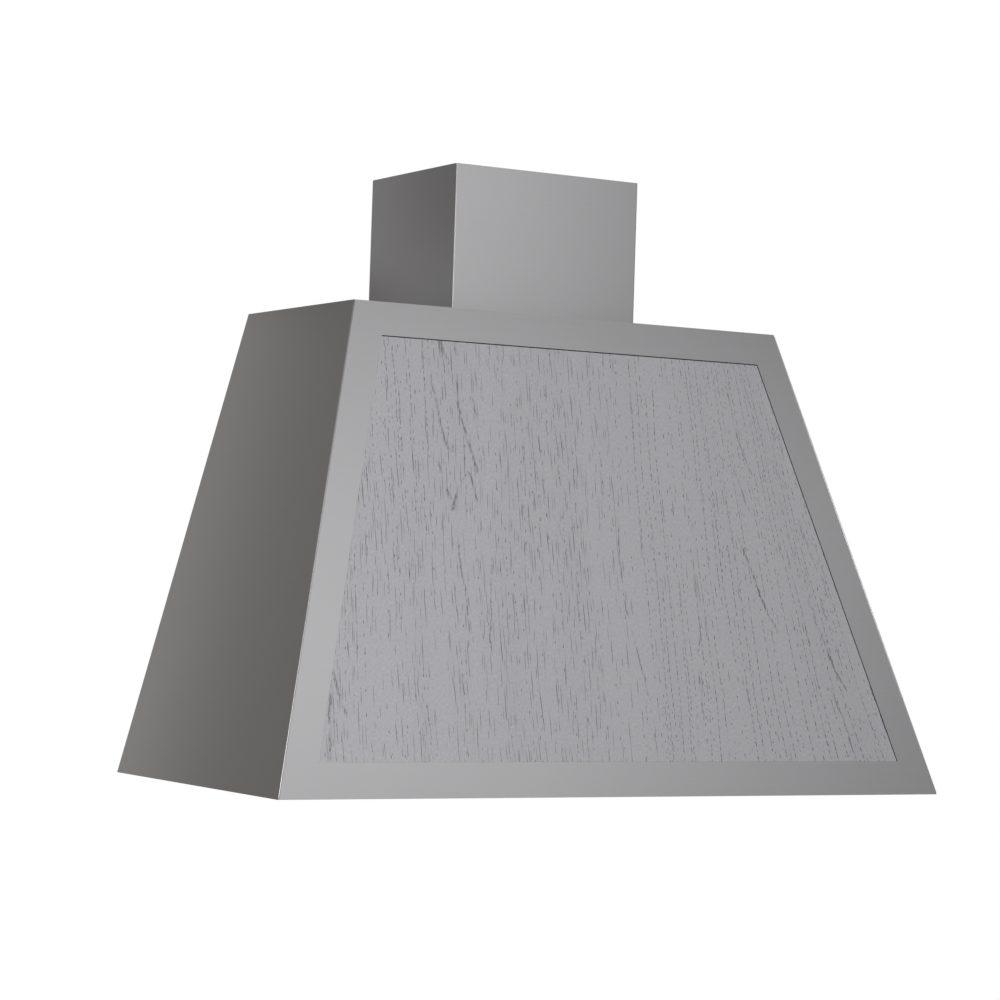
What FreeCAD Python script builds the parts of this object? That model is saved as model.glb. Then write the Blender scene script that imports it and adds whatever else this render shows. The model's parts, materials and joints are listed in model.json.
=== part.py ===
import FreeCAD, Part
import math
import operator
import os
from types import SimpleNamespace

import Sketcher
from FreeCAD import Placement, Rotation, Vector

# A wall-mounted canopy range hood. X runs along the wall, the wall is the plane Y = 0, the front
# faces -Y and the lower rim stands at Z = 0. All sizes are in millimetres.
SIZES = {
    # Canopy: a pyramid cut off at the top, upright at the wall
    "hood_width": 1067,
    "hood_depth": 518,
    "canopy_height": 668,
    "side_taper": 182,
    "front_taper": 186,
    "skin_gauge": 1.5,
    "corner_radius": 1.2,
    "side_flange": 20,
    "fit_gap": 0.1,
    # Front frame and the wood panel that it holds
    "border_width": 49,
    "frame_lip": 24,
    "panel_thickness": 12,
    "panel_play": 1.6,
    "screw_inset": 70,
    "panel_screw_bite": 7,
    # Wall holes
    "stud_spacing": 406.4,
    "wall_hole_spacing": 360,
    "wall_hole_drop": 88,
    "wall_hole_radius": 4,
    "hanger_side": 60,
    "hanger_gauge": 3,
    # Top panel, cable inlet and junction box
    "top_leg": 20,
    "outlet_radius": 95,
    "cable_hole_radius": 11.2,
    "cable_hole_side": 138,
    "cable_hole_front": 36,
    "box_width": 74,
    "box_depth": 60,
    "box_height": 46,
    "box_gauge": 1.2,
    "box_cable_margin": 20,
    # Base rails round the lower rim
    "rim_width": 30,
    "rim_height": 48,
    # Liner
    "liner_gauge": 1.2,
    "light_panel_depth": 105,
    "side_filler_width": 46,
    "front_coaming": 72,
    "side_coaming": 60,
    # Grease gutter and cup
    "gutter_width": 50,
    "gutter_floor": 26,
    "drain_radius": 6,
    "cup_width": 120,
    "cup_depth": 38,
    "cup_height": 23,
    "cup_gauge": 1.2,
    "seat_gap": 0.3,
    "clip_width": 16,
    "clip_length": 12,
    "clip_gauge": 1,
    # Baffle filters
    "filter_gap": 3,
    "filter_thickness": 20,
    "filter_gauge": 1,
    "filter_side": 20,
    "filter_front": 24,
    "filter_rear": 36,
    "filter_tail": 26,
    "filter_rise": 25.5,
    "swing_gap": 1.5,
    "rod_radius": 3,
    "rod_drop": 7,
    "rod_half_length": 115,
    "ear_gauge": 3,
    "run_gap": 0.1,
    "saddle_half_depth": 5,
    "saddle_width": 12,
    "saddle_height": 15,
    "saddle_spread": 92,
    "wall_drop": 6,
    "baffle_width": 30,
    "baffle_pitch": 42,
    "baffle_depth": 12,
    "baffle_gauge": 0.8,
    "handle_half_width": 45,
    "handle_drop": 30,
    "handle_bend": 12,
    "handle_radius": 3,
    "catch_spread": 80,
    "catch_width": 24,
    "catch_depth": 12,
    "catch_height": 10,
    # Lamps
    "lamp_spread": 300,
    "bezel_radius": 38,
    "bezel_lip_radius": 26,
    "bezel_proud": 2.4,
    "bezel_lip": 1,
    "barrel_radius": 32.4,
    "barrel_gauge": 2.4,
    "barrel_height": 12,
    "lens_thickness": 2.6,
    "lamp_body_height": 12,
    "fin_radius": 28,
    "fin_core_radius": 12,
    "fin_gauge": 1.6,
    "fin_pitch": 4,
    # Controls
    "button_pitch": 36,
    "button_radius": 7,
    "button_play": 0.3,
    "button_proud": 4,
    "button_travel": 2,
    "button_flange_radius": 9.5,
    "button_flange": 1,
    "button_stem_radius": 2.5,
    "button_edge": 0.8,
    "control_length": 210,
    "control_depth": 46,
    "control_gauge": 1.5,
    "control_corner": 4,
    "control_slot_length": 190,
    "control_slot_depth": 28,
    "control_box_margin": 5,
    "control_box_height": 32,
    "board_lift": 10,
    "board_gauge": 1.6,
    "board_margin": 3,
    "switch_side": 6,
    "switch_height": 3.5,
    "standoff_radius": 3,
    # Blower
    "blower_height": 455,
    "blower_clearance": 26,
    "wheel_width": 160,
    "scroll_gap": 18,
    "scroll_step": 22,
    "scroll_width": 190,
    "blower_gauge": 1.2,
    "blower_flange": 12,
    "inlet_inset": 10,
    "inlet_cone": 8,
    "inlet_lip": 10,
    "hub_radius": 14,
    "hub_length": 40,
    "shaft_radius": 4,
    "shaft_gap": 0.05,
    "blade_depth": 14,
    "blade_curve": 15,
    "blade_gauge": 1,
    "ring_gauge": 1.5,
    "motor_radius": 44,
    "motor_length": 78,
    "motor_offset": 17,
    "motor_bevel": 7,
    "motor_boss_radius": 14,
    "motor_boss": 12,
    "bearing_depth": 34,
    "clamp_width": 20,
    "clamp_gauge": 3,
    "arm_width": 16,
    "arm_foot": 12,
    # Outlet collar and back-draught damper
    "collar_radius": 101,
    "collar_gauge": 1.2,
    "collar_height": 70,
    "collar_flange": 10,
    "damper_rise": 20,
    "pin_offset": 9,
    "pin_radius": 2,
    "pin_gap": 0.05,
    "knuckle_gauge": 1.5,
    "knuckle_half_length": 90,
    "flap_gauge": 1,
    "flap_gap": 1.5,
    "ledge_width": 4,
    "ledge_gauge": 1.2,
    "crossbar_half_width": 15,
    "crossbar_drop": 7,
    "crossbar_gauge": 1.5,
    # Chimney cover and its fixings
    "chimney_width": 308,
    "chimney_depth": 254,
    "chimney_height": 215,
    "chimney_gauge": 1.5,
    "chimney_bend": 2.5,
    "chimney_return": 20,
    "bracket_drop": 30,
    "bracket_height": 40,
    "bracket_gauge": 2,
    "bracket_hole_spread": 100,
    "bracket_hole_radius": 3,
    "angle_leg": 25,
    "angle_gauge": 1.5,
    "angle_start": 100,
    "angle_length": 130,
    # Screws
    "screw_radius": 1.7,
    "screw_hole_radius": 2.1,
    "screw_head_radius": 3.5,
    "screw_head": 2.2,
    "screw_reach": 3,
}
BUTTONS = ["button_light", "button_stop", "button_low", "button_medium", "button_high"]
FILTERS = {"filter_left": -1, "filter_centre": 0, "filter_right": 1}
WHEEL_BLADES = 36
BRACKET_ARMS = 3
LAMP_FINS = 3

document = FreeCAD.newDocument("range_hood")
sheet = document.addObject("Spreadsheet::Sheet", "dims")
for row, (alias, value) in enumerate(SIZES.items(), start=1):
    sheet.set(f"A{row}", alias)
    sheet.set(f"B{row}", str(value))
    sheet.setAlias(f"B{row}", alias)
document.recompute()


class Size:
    """A length from the sheet: its value now, and the formula that keeps a feature bound to the cells."""

    def __init__(self, value, formula):
        self.value = float(value)
        self.formula = formula

    def __add__(self, other):
        return combine(self, "+", other)

    def __radd__(self, other):
        return combine(other, "+", self)

    def __sub__(self, other):
        return combine(self, "-", other)

    def __rsub__(self, other):
        return combine(other, "-", self)

    def __mul__(self, other):
        return combine(self, "*", other)

    def __rmul__(self, other):
        return combine(other, "*", self)

    def __truediv__(self, other):
        return combine(self, "/", other)

    def __neg__(self):
        return combine(0, "-", self)


SIGNS = {"+": operator.add, "-": operator.sub, "*": operator.mul, "/": operator.truediv}


def as_size(number):
    return number if isinstance(number, Size) else Size(number, f"({number})")


def combine(left, sign, right):
    left = as_size(left)
    right = as_size(right)
    return Size(SIGNS[sign](left.value, right.value), f"({left.formula} {sign} {right.formula})")


def root(number):
    return Size(math.sqrt(number.value), f"sqrt({number.formula})")


def bind(feature, name, size):
    feature.setExpression(name, as_size(size).formula)


d = SimpleNamespace(**{alias: Size(getattr(sheet, alias), f"dims.{alias}") for alias in SIZES})
nodes = []


def body(label, at=(0, 0, 0), axis=Vector(0, 0, 1), angle=None):
    """A new sub-part, placed at a point and turned about an axis by an angle given as a formula."""
    piece = document.addObject("PartDesign::Body", label)
    piece.Label = label
    piece.Placement = Placement(Vector(), Rotation(axis, 1 if angle else 0))
    for name, size in zip("xyz", at):
        bind(piece, f"Placement.Base.{name}", size)
    if angle:
        piece.setExpression("Placement.Rotation.Angle", angle)
    nodes.append(piece)
    return piece


def spot(across, up):
    return Vector(as_size(across).value, as_size(up).value, 0)


def rule(flat, kind, where, size):
    """Ties a sketch's geometry to a size."""
    index = flat.addConstraint(Sketcher.Constraint(kind, *where, as_size(size).value))
    if "dims" in as_size(size).formula:
        flat.setExpression(f"Constraints[{index}]", as_size(size).formula)


def draw(flat, corners, bends=None, closed=True):
    """An outline through corners. bends gives, for each side that is an arc, (radius, centre, turn)."""
    bends = bends or {}
    spots = [spot(*corner) for corner in corners]
    sides = len(corners) if closed else len(corners) - 1
    first = flat.GeometryCount
    head = []
    for i in range(sides):
        begin = spots[i]
        end = spots[(i + 1) % len(spots)]
        if i in bends:
            radius, centre, turn = bends[i]
            middle = spot(*centre)
            circle = Part.Circle(middle, Vector(0, 0, 1), as_size(radius).value)
            angles = [math.atan2(p.y - middle.y, p.x - middle.x) for p in (begin, end)[::turn]]
            flat.addGeometry(Part.ArcOfCircle(circle, *angles), False)
            head.append(1 if turn > 0 else 2)
        else:
            flat.addGeometry(Part.LineSegment(begin, end), False)
            head.append(1)
    joints = sides if closed else sides - 1
    for i in range(joints):
        following = (i + 1) % sides
        flat.addConstraint(Sketcher.Constraint("Coincident", first + i, 3 - head[i],
                                               first + following, head[following]))
    for i, (radius, centre, turn) in bends.items():
        rule(flat, "Radius", (first + i,), radius)
    for i, (across, up) in enumerate(corners):
        side = min(i, sides - 1)
        end_of_side = head[side] if i < sides else 3 - head[side]
        rule(flat, "DistanceX", (-1, 1, first + side, end_of_side), across)
        rule(flat, "DistanceY", (-1, 1, first + side, end_of_side), up)


def draw_circle(flat, centre, radius):
    index = flat.addGeometry(Part.Circle(spot(*centre), Vector(0, 0, 1), as_size(radius).value), False)
    rule(flat, "Radius", (index,), radius)
    rule(flat, "DistanceX", (-1, 1, index, 3), centre[0])
    rule(flat, "DistanceY", (-1, 1, index, 3), centre[1])


def sketch(piece, name, plane, start, outlines=(), circles=()):
    """A sketch on one of the piece's own planes, moved along that plane's normal to start."""
    flat = piece.newObject("Sketcher::SketchObject", f"{piece.Label}_{name}")
    base = next(f for f in piece.Origin.OriginFeatures if f.Role == f"{plane}_Plane")
    flat.AttachmentSupport = [(base, "")]
    flat.MapMode = "FlatFace"
    bind(flat, "AttachmentOffset.Base.z", start)
    for outline in outlines:
        if isinstance(outline, tuple):
            draw(flat, *outline)
        else:
            draw(flat, outline)
    for centre, radius in circles:
        draw_circle(flat, centre, radius)
    return flat


def plate(piece, name, plane, start, length, outlines=(), circles=()):
    """Stock from start along the plane's normal. Seen from its normal, the XZ plane's stock grows to -Y."""
    solid = piece.newObject("PartDesign::Pad", f"{piece.Label}_{name}_pad")
    solid.Profile = sketch(piece, name, plane, start, outlines, circles)
    bind(solid, "Length", length)
    return solid


def cut(piece, name, plane, start, length, outlines=(), circles=()):
    """Removes stock from start along the plane's normal, and makes sure that some was removed."""
    document.recompute()
    before = piece.Shape.Volume
    hollow = piece.newObject("PartDesign::Pocket", f"{piece.Label}_{name}_pocket")
    hollow.Profile = sketch(piece, name, plane, start, outlines, circles)
    hollow.Reversed = True
    bind(hollow, "Length", length)
    document.recompute()
    if piece.Shape.Volume >= before:
        raise RuntimeError(f"{piece.Label}: {name} cut nothing")
    return hollow


def turned(piece, name, axis, outlines):
    """Stock turned about one of the piece's own axes, from outlines in the XZ plane."""
    solid = piece.newObject("PartDesign::Revolution", f"{piece.Label}_{name}_turned")
    solid.Profile = sketch(piece, name, "XZ", 0, outlines)
    solid.ReferenceAxis = (next(f for f in piece.Origin.OriginFeatures if f.Role == f"{axis}_Axis"), [""])
    solid.Angle = 360
    return solid


def repeated(piece, feature, axis, count, length=None):
    """Copies of a feature: round one of the piece's axes, or spread along it where a length is given."""
    kind = "LinearPattern" if length else "PolarPattern"
    pattern = piece.newObject(f"PartDesign::{kind}", f"{feature.Name}_copies")
    pattern.Originals = [feature]
    line = next(f for f in piece.Origin.OriginFeatures if f.Role == f"{axis}_Axis")
    if length:
        pattern.Direction = (line, [""])
        bind(pattern, "Length", length)
    else:
        pattern.Axis = (line, [""])
        pattern.Angle = 360
    pattern.Occurrences = count
    piece.Tip = pattern
    return pattern


def edge_at(piece, point):
    """The name of the piece's edge whose middle lies nearest to a point in the piece's own frame."""
    document.recompute()
    target = Vector(*[as_size(size).value for size in point])
    edges = piece.Tip.Shape.Edges
    middles = [edge.valueAt((edge.FirstParameter + edge.LastParameter) / 2) for edge in edges]
    gaps = [middle.distanceToPoint(target) for middle in middles]
    return f"Edge{gaps.index(min(gaps)) + 1}"


def eased(piece, kind, size, points):
    """Rounds (Fillet) or bevels (Chamfer) the edges whose middles are nearest to the points."""
    base = piece.Tip
    names = [edge_at(piece, point) for point in points]
    feature = piece.newObject(f"PartDesign::{kind}", f"{base.Name}_{kind.lower()}")
    feature.Base = (base, names)
    bind(feature, "Radius" if kind == "Fillet" else "Size", size)
    return feature


def rectangle(left, right, low, high):
    return [(left, low), (right, low), (right, high), (left, high)]


def centred(half_width, half_depth, x=0, y=0):
    return rectangle(x - half_width, x + half_width, y - half_depth, y + half_depth)


# Canopy planes that several pieces share
half_width = d.hood_width / 2
top_half_width = half_width - d.side_taper
top_depth = d.hood_depth - d.front_taper
side_run = d.side_taper / d.canopy_height
front_run = d.front_taper / d.canopy_height
side_skin = d.skin_gauge * root(1 + side_run * side_run)
front_skin = d.skin_gauge * root(1 + front_run * front_run)
duct_front = d.chimney_depth / 2


def side_x(z):
    """Distance from the middle to the inner face of a side panel at height z."""
    return half_width - side_skin - side_run * z


# Left and right side panels: plain sheets that lean inwards, cut to the front's slope, with a rear flange
for label, side in (("left_side_panel", -1), ("right_side_panel", 1)):
    side_panel = body(label)
    skin = [(side * half_width, 0), (side * top_half_width, d.canopy_height),
            (side * side_x(d.canopy_height), d.canopy_height), (side * side_x(0), 0)]
    plate(side_panel, "skin", "XZ", 0, d.hood_depth, [skin])
    flange_foot = d.skin_gauge * 2
    flange_head = d.canopy_height - d.top_leg - d.skin_gauge
    flange = [(side * (side_x(flange_foot) + side_skin / 2), flange_foot),
              (side * (side_x(flange_head) + side_skin / 2), flange_head),
              (side * (side_x(flange_head) - d.side_flange), flange_head),
              (side * (side_x(flange_foot) - d.side_flange), flange_foot)]
    plate(side_panel, "rear_flange", "XZ", d.skin_gauge, d.skin_gauge, [flange])
    ahead = [(-d.hood_depth, 0), (-top_depth, d.canopy_height), (-d.hood_depth, d.canopy_height)]
    cut(side_panel, "front_slope", "YZ", -half_width, d.hood_width, [ahead])
    eased(side_panel, "Fillet", d.corner_radius,
          [(side * (half_width + top_half_width) / 2, -(d.hood_depth + top_depth) / 2, d.canopy_height / 2)])

# Front frame: four mitred members, welded and ground flush. Each has its face, a wall that steps back
# round the wood panel, and a lip behind the panel. The front's own plane has Y up the slope, Z outwards.
front_length = root(d.canopy_height * d.canopy_height + d.front_taper * d.front_taper)
lean = d.side_taper / front_length
lean_width = root(1 + lean * lean)
lower_edge = d.skin_gauge * front_run
slopes = (1 + side_run * side_run) * (1 + front_run * front_run)
seam = d.skin_gauge * root(slopes / (1 + side_run * side_run + front_run * front_run)) + d.fit_gap
front_at = (0, -d.hood_depth, 0)
front_angle = "atan(dims.canopy_height / dims.front_taper)"
wall_back = d.panel_thickness + d.skin_gauge
panel_back = (wall_back + d.screw_head) * root(1 + front_run * front_run)
lip_middle = d.border_width + d.frame_lip / 2


def front_x(up, inset):
    """Half width of the front at a height up its slope, inset square to the sloping edge."""
    return half_width - lean * up - inset * lean_width


def low_corner(inset):
    return (front_x(inset, inset), inset)


def high_corner(inset):
    return (front_x(front_length - inset, inset), front_length - inset)


def mirrored(corner):
    return (-corner[0], corner[1])


def member(low_out, high_out, low_in, high_in):
    """Outlines of the four mitred members between an outer and an inner pair of corners."""
    return {
        "frame_bottom_rail": [mirrored(low_out), low_out, low_in, mirrored(low_in)],
        "frame_top_rail": [mirrored(high_out), high_out, high_in, mirrored(high_in)],
        "frame_right_stile": [low_out, high_out, high_in, low_in],
        "frame_left_stile": [mirrored(c) for c in (low_out, high_out, high_in, low_in)],
    }


def lip_spot(up, side):
    return (side * front_x(up, lip_middle), up)


rail_side = front_x(front_length - lip_middle, lip_middle) - d.screw_inset
sill_side = front_x(lip_middle, lip_middle) - d.screw_inset
stile_heights = (front_length / 3, front_length * 2 / 3)
panel_screw_spots = {
    "frame_bottom_rail": [(-sill_side, lip_middle), (0, lip_middle), (sill_side, lip_middle)],
    "frame_top_rail": [(x, front_length - lip_middle) for x in (-rail_side, 0, rail_side)],
    "frame_right_stile": [lip_spot(up, 1) for up in stile_heights],
    "frame_left_stile": [lip_spot(up, -1) for up in stile_heights],
}
opening = d.border_width
step = opening - d.skin_gauge
faces = member((front_x(lower_edge, seam), lower_edge), (front_x(front_length, seam), front_length),
               low_corner(opening), high_corner(opening))
walls = member(low_corner(step), high_corner(step), low_corner(opening), high_corner(opening))
lip_edge = opening + d.frame_lip
lips = member(low_corner(step), high_corner(step), low_corner(lip_edge), high_corner(lip_edge))
for label, face in faces.items():
    frame_member = body(label, front_at, Vector(1, 0, 0), front_angle)
    plate(frame_member, "face", "XY", -d.skin_gauge, d.skin_gauge, [face])
    plate(frame_member, "wall", "XY", -wall_back, d.panel_thickness, [walls[label]])
    holes = [(centre, d.screw_hole_radius) for centre in panel_screw_spots[label]]
    plate(frame_member, "lip", "XY", -wall_back, d.skin_gauge, [lips[label]], holes)

# Wood panel: it rests on the bottom rail and against the left stile, so its play shows above and at the right
wood_panel = body("wood_panel", front_at, Vector(1, 0, 0), front_angle)
seated = opening + d.fit_gap
loose = opening + d.panel_play
wood_top = front_length - loose
wood = [(-front_x(seated, seated), seated), (front_x(seated, loose), seated),
        (front_x(wood_top, loose), wood_top), (-front_x(wood_top, seated), wood_top)]
plate(wood_panel, "board", "XY", -d.panel_thickness, d.panel_thickness, [wood])
all_panel_screws = [centre for spots in panel_screw_spots.values() for centre in spots]
pilot_radius = d.screw_radius + d.pin_gap
cut(wood_panel, "pilot_holes", "XY", -d.panel_thickness, d.panel_screw_bite,
    circles=[(centre, pilot_radius) for centre in all_panel_screws])

panel_screws = body("panel_screws", front_at, Vector(1, 0, 0), front_angle)
plate(panel_screws, "heads", "XY", -(wall_back + d.screw_head), d.screw_head,
      circles=[(centre, d.screw_head_radius) for centre in all_panel_screws])
plate(panel_screws, "shanks", "XY", -wall_back, d.skin_gauge + d.panel_screw_bite - d.fit_gap,
      circles=[(centre, d.screw_radius) for centre in all_panel_screws])

# Rear panel with its wall holes, and the plates that stiffen the upper pair
rear_panel = body("rear_panel")
upper_wall_hole = d.canopy_height - d.wall_hole_drop
lower_wall_hole = upper_wall_hole - d.wall_hole_spacing
wall_holes = {z: [((side * d.stud_spacing / 2, z), d.wall_hole_radius) for side in (-1, 1)]
              for z in (lower_wall_hole, upper_wall_hole)}
rear = [(-(side_x(0) - d.fit_gap), 0), (side_x(0) - d.fit_gap, 0),
        (side_x(d.canopy_height) - d.fit_gap, d.canopy_height),
        (-(side_x(d.canopy_height) - d.fit_gap), d.canopy_height)]
plate(rear_panel, "sheet", "XZ", 0, d.skin_gauge, [rear], sum(wall_holes.values(), []))

hanger_plates = body("hanger_plates")
hanger_half = d.hanger_side / 2
plate(hanger_plates, "plates", "XZ", d.skin_gauge, d.hanger_gauge,
      [centred(hanger_half, hanger_half, *centre) for centre, radius in wall_holes[upper_wall_hole]],
      wall_holes[upper_wall_hole])

# Screws that join sheets: the collar's four, the blower's four and the chimney angles' four. The blower is as
# large as the room between the duct and the front allows: its scroll reaches 1.75 radii ahead of the duct.
collar_flange_radius = d.collar_radius + d.collar_flange
collar_screw_circle = d.collar_radius + d.collar_flange / 2
collar_screw_side = collar_screw_circle / 2
collar_screw_front = collar_screw_circle * math.sqrt(0.75)
collar_screws = [(x * collar_screw_side, y * collar_screw_front - duct_front) for x in (-1, 1) for y in (-1, 1)]
blower_room = d.hood_depth - front_run * d.blower_height - panel_back - d.blower_clearance
throat_growth = 3 * d.scroll_step
scroll_radius = (blower_room - duct_front - throat_growth / 2) / 1.75
wheel_radius = scroll_radius - d.scroll_gap
inlet_radius = wheel_radius - d.inlet_inset
inlet_throat = inlet_radius - d.inlet_cone
tongue = scroll_radius / 2
throat_end = scroll_radius + throat_growth
wheel_front = duct_front + (tongue + throat_end) / 2
lip_middles = (tongue - d.blower_flange / 2, throat_end + d.blower_flange / 2)
blower_screw_side = d.scroll_width / 2 - d.blower_flange
blower_screws = [(x * blower_screw_side, y - wheel_front) for x in (-1, 1) for y in lip_middles]
chimney_inside = d.chimney_width / 2 - d.chimney_gauge - d.fit_gap
angle_ends = (d.angle_start + d.angle_leg, d.angle_start + d.angle_length - d.angle_leg)
angle_screws = [(x * (chimney_inside - d.angle_leg / 2), -y) for x in (-1, 1) for y in angle_ends]

# Top panel: a sheet with legs that lie against the side panels, the outlet and the cable hole
top_panel = body("top_panel")
roof = side_x(d.canopy_height) - d.fit_gap
leg_end = d.canopy_height - d.top_leg
under_roof = d.canopy_height - d.skin_gauge
leg_x = roof + side_run * d.top_leg
crook_x = roof + side_run * d.skin_gauge - side_skin
right_half = [(roof, d.canopy_height), (leg_x, leg_end), (leg_x - side_skin, leg_end), (crook_x, under_roof)]
profile = right_half + [mirrored(corner) for corner in right_half[::-1]]
top_rear = d.skin_gauge + d.fit_gap
plate(top_panel, "sheet", "XZ", top_rear, top_depth - front_skin - d.fit_gap - top_rear, [profile])
cable_spot = (-d.cable_hole_side, -d.cable_hole_front)
cut(top_panel, "holes", "XY", under_roof - d.skin_gauge, d.skin_gauge * 3,
    circles=[((0, -duct_front), d.outlet_radius), (cable_spot, d.cable_hole_radius)]
    + [(centre, d.screw_hole_radius) for centre in collar_screws + blower_screws + angle_screws])

# Junction box under the top panel, round the cable hole, and its cover
box_top = under_roof - d.fit_gap
box_right = -d.cable_hole_side + d.box_cable_margin
box_left = box_right - d.box_width
box_rear = -(d.cable_hole_front - d.box_depth / 2)
junction_outline = rectangle(box_left, box_right, box_rear - d.box_depth, box_rear)
junction_inside = rectangle(box_left + d.box_gauge, box_right - d.box_gauge,
                            box_rear - d.box_depth + d.box_gauge, box_rear - d.box_gauge)
junction_box = body("junction_box")
plate(junction_box, "block", "XY", box_top - d.box_height, d.box_height, [junction_outline])
cut(junction_box, "inside", "XY", box_top - d.box_height, d.box_height - d.box_gauge, [junction_inside])
cut(junction_box, "cable_hole", "XY", box_top - d.box_gauge, d.box_gauge,
    circles=[(cable_spot, d.cable_hole_radius)])
junction_cover = body("junction_box_cover")
plate(junction_cover, "sheet", "XY", box_top - d.box_height - d.box_gauge, d.box_gauge, [junction_outline])

# Base rails: mitred angles that stiffen the lower rim and carry the liner
rim_x = side_x(d.skin_gauge) - d.fit_gap
rim_front = d.hood_depth - front_skin - front_run * d.skin_gauge - d.fit_gap
rim_rear = d.skin_gauge + d.fit_gap


def rim_corners(inset):
    """Corners of the rim, inset from its outer edge: front left, front right, rear right, rear left."""
    return rectangle(inset - rim_x, rim_x - inset, inset - rim_front, -(rim_rear + inset))


for i, label in enumerate(("base_rail_front", "base_rail_right", "base_rail_rear", "base_rail_left")):
    rail = body(label)
    after = (i + 1) % 4
    inner = rim_corners(d.rim_width)
    outer = rim_corners(as_size(0))
    plate(rail, "foot", "XY", 0, d.skin_gauge, [[outer[i], outer[after], inner[after], inner[i]]])
    outer = rim_corners(d.rim_width - d.skin_gauge)
    plate(rail, "leg", "XY", d.skin_gauge, d.rim_height - d.skin_gauge,
          [[outer[i], outer[after], inner[after], inner[i]]])

# Liner planes: where the filter bay, the gutter and the hinge rods lie
leg_x_out = rim_x - d.rim_width + d.skin_gauge
leg_front_out = rim_front - d.rim_width + d.skin_gauge
leg_rear_out = rim_rear + d.rim_width - d.skin_gauge
liner_top = d.rim_height + d.liner_gauge
coaming_front = leg_front_out - d.light_panel_depth
bay_half = leg_x_out - d.side_filler_width
gutter_rear = rim_rear + d.rim_width + d.fit_gap
gutter_front = gutter_rear + d.gutter_width
rod_front = gutter_front + d.saddle_half_depth
gutter_wall_top = d.rim_height - d.rod_radius + d.run_gap - d.wall_drop
rod_height = gutter_wall_top + d.wall_drop
filter_width = (2 * bay_half - 4 * d.filter_gap) / 3
filter_depth_up = d.rod_drop + d.filter_thickness
swing_radius = coaming_front - rod_front - d.swing_gap
filter_reach = root(swing_radius * swing_radius - filter_depth_up * filter_depth_up)
tilt_sine = d.filter_rise / filter_reach
tilt_cosine = root(1 - tilt_sine * tilt_sine)
filter_angle = f"-asin({tilt_sine.formula})"
filter_pitch = filter_width + d.filter_gap
lamp_front = coaming_front + d.light_panel_depth / 2
lamp_spots = [(side * d.lamp_spread, -lamp_front) for side in (-1, 1)]
button_spots = [((i - 2) * d.button_pitch, -lamp_front) for i in range(len(BUTTONS))]
control_centre = (0, -lamp_front)

# Light panel along the front, with its coaming at the filter bay
light_panel = body("light_panel")
slot = centred(d.control_slot_length / 2, d.control_slot_depth / 2, *control_centre)
plate(light_panel, "sheet", "XY", d.rim_height, d.liner_gauge,
      [rectangle(-leg_x_out, leg_x_out, -leg_front_out, -coaming_front), slot],
      [(centre, d.barrel_radius + d.seat_gap) for centre in lamp_spots])
coaming_half = bay_half + d.liner_gauge
plate(light_panel, "coaming", "XY", liner_top, d.front_coaming,
      [rectangle(-coaming_half, coaming_half, -coaming_front - d.liner_gauge, -coaming_front)])

# Left and right fillers beside the filter bay
for label, side in (("liner_left", -1), ("liner_right", 1)):
    filler = body(label)
    filler_rear = gutter_rear + d.liner_gauge * 2
    plate(filler, "sheet", "XY", d.rim_height, d.liner_gauge,
          [rectangle(side * bay_half, side * leg_x_out, -coaming_front, -filler_rear)])
    plate(filler, "coaming", "XY", liner_top, d.side_coaming,
          [rectangle(side * bay_half, side * (bay_half + d.liner_gauge), -coaming_front, -filler_rear)])

# Grease gutter: a trough hung on the rear rail, with closed ends and a drain over the cup
grease_gutter = body("grease_gutter")
gutter_half = leg_x_out - d.skin_gauge - d.fit_gap
floor_top = d.gutter_floor + d.liner_gauge
trough = [(-gutter_front, gutter_wall_top), (-gutter_front, d.gutter_floor), (-gutter_rear, d.gutter_floor),
          (-gutter_rear, d.rim_height), (-leg_rear_out, d.rim_height), (-leg_rear_out, liner_top),
          (-gutter_rear - d.liner_gauge, liner_top), (-gutter_rear - d.liner_gauge, floor_top),
          (-gutter_front + d.liner_gauge, floor_top), (-gutter_front + d.liner_gauge, gutter_wall_top)]
plate(grease_gutter, "trough", "YZ", -gutter_half, gutter_half * 2, [trough])
end_wall = rectangle(-gutter_front, -gutter_rear, d.gutter_floor, gutter_wall_top)
plate(grease_gutter, "left_end", "YZ", -gutter_half, d.liner_gauge, [end_wall])
plate(grease_gutter, "right_end", "YZ", gutter_half - d.liner_gauge, d.liner_gauge, [end_wall])
cup_front = (gutter_front + gutter_rear) / 2
cut(grease_gutter, "drain", "XY", d.gutter_floor, d.liner_gauge, circles=[((0, -cup_front), d.drain_radius)])

# Grease cup, which pulls straight down out of two spring clips
grease_cup = body("grease_cup", (0, -cup_front, d.gutter_floor - d.seat_gap - d.cup_height))
cup_half_width = d.cup_width / 2
cup_half_depth = d.cup_depth / 2
plate(grease_cup, "block", "XY", 0, d.cup_height, [centred(cup_half_width, cup_half_depth)])
cut(grease_cup, "inside", "XY", d.cup_gauge, d.cup_height,
    [centred(cup_half_width - d.cup_gauge, cup_half_depth - d.cup_gauge)])
cup_clips = body("cup_clips")
clip_in = cup_half_width + d.seat_gap
clip_low = d.gutter_floor - d.clip_length
clip_under = d.gutter_floor - d.clip_gauge
clip_out = clip_in + d.clip_gauge
clip_end = clip_in + d.clip_length
clip_profile = [(clip_in, d.gutter_floor), (clip_in, clip_low), (clip_out, clip_low), (clip_out, clip_under),
                (clip_end, clip_under), (clip_end, d.gutter_floor)]
plate(cup_clips, "leaves", "XZ", cup_front - d.clip_width / 2, d.clip_width,
      [clip_profile, [mirrored(corner) for corner in clip_profile]])

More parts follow.
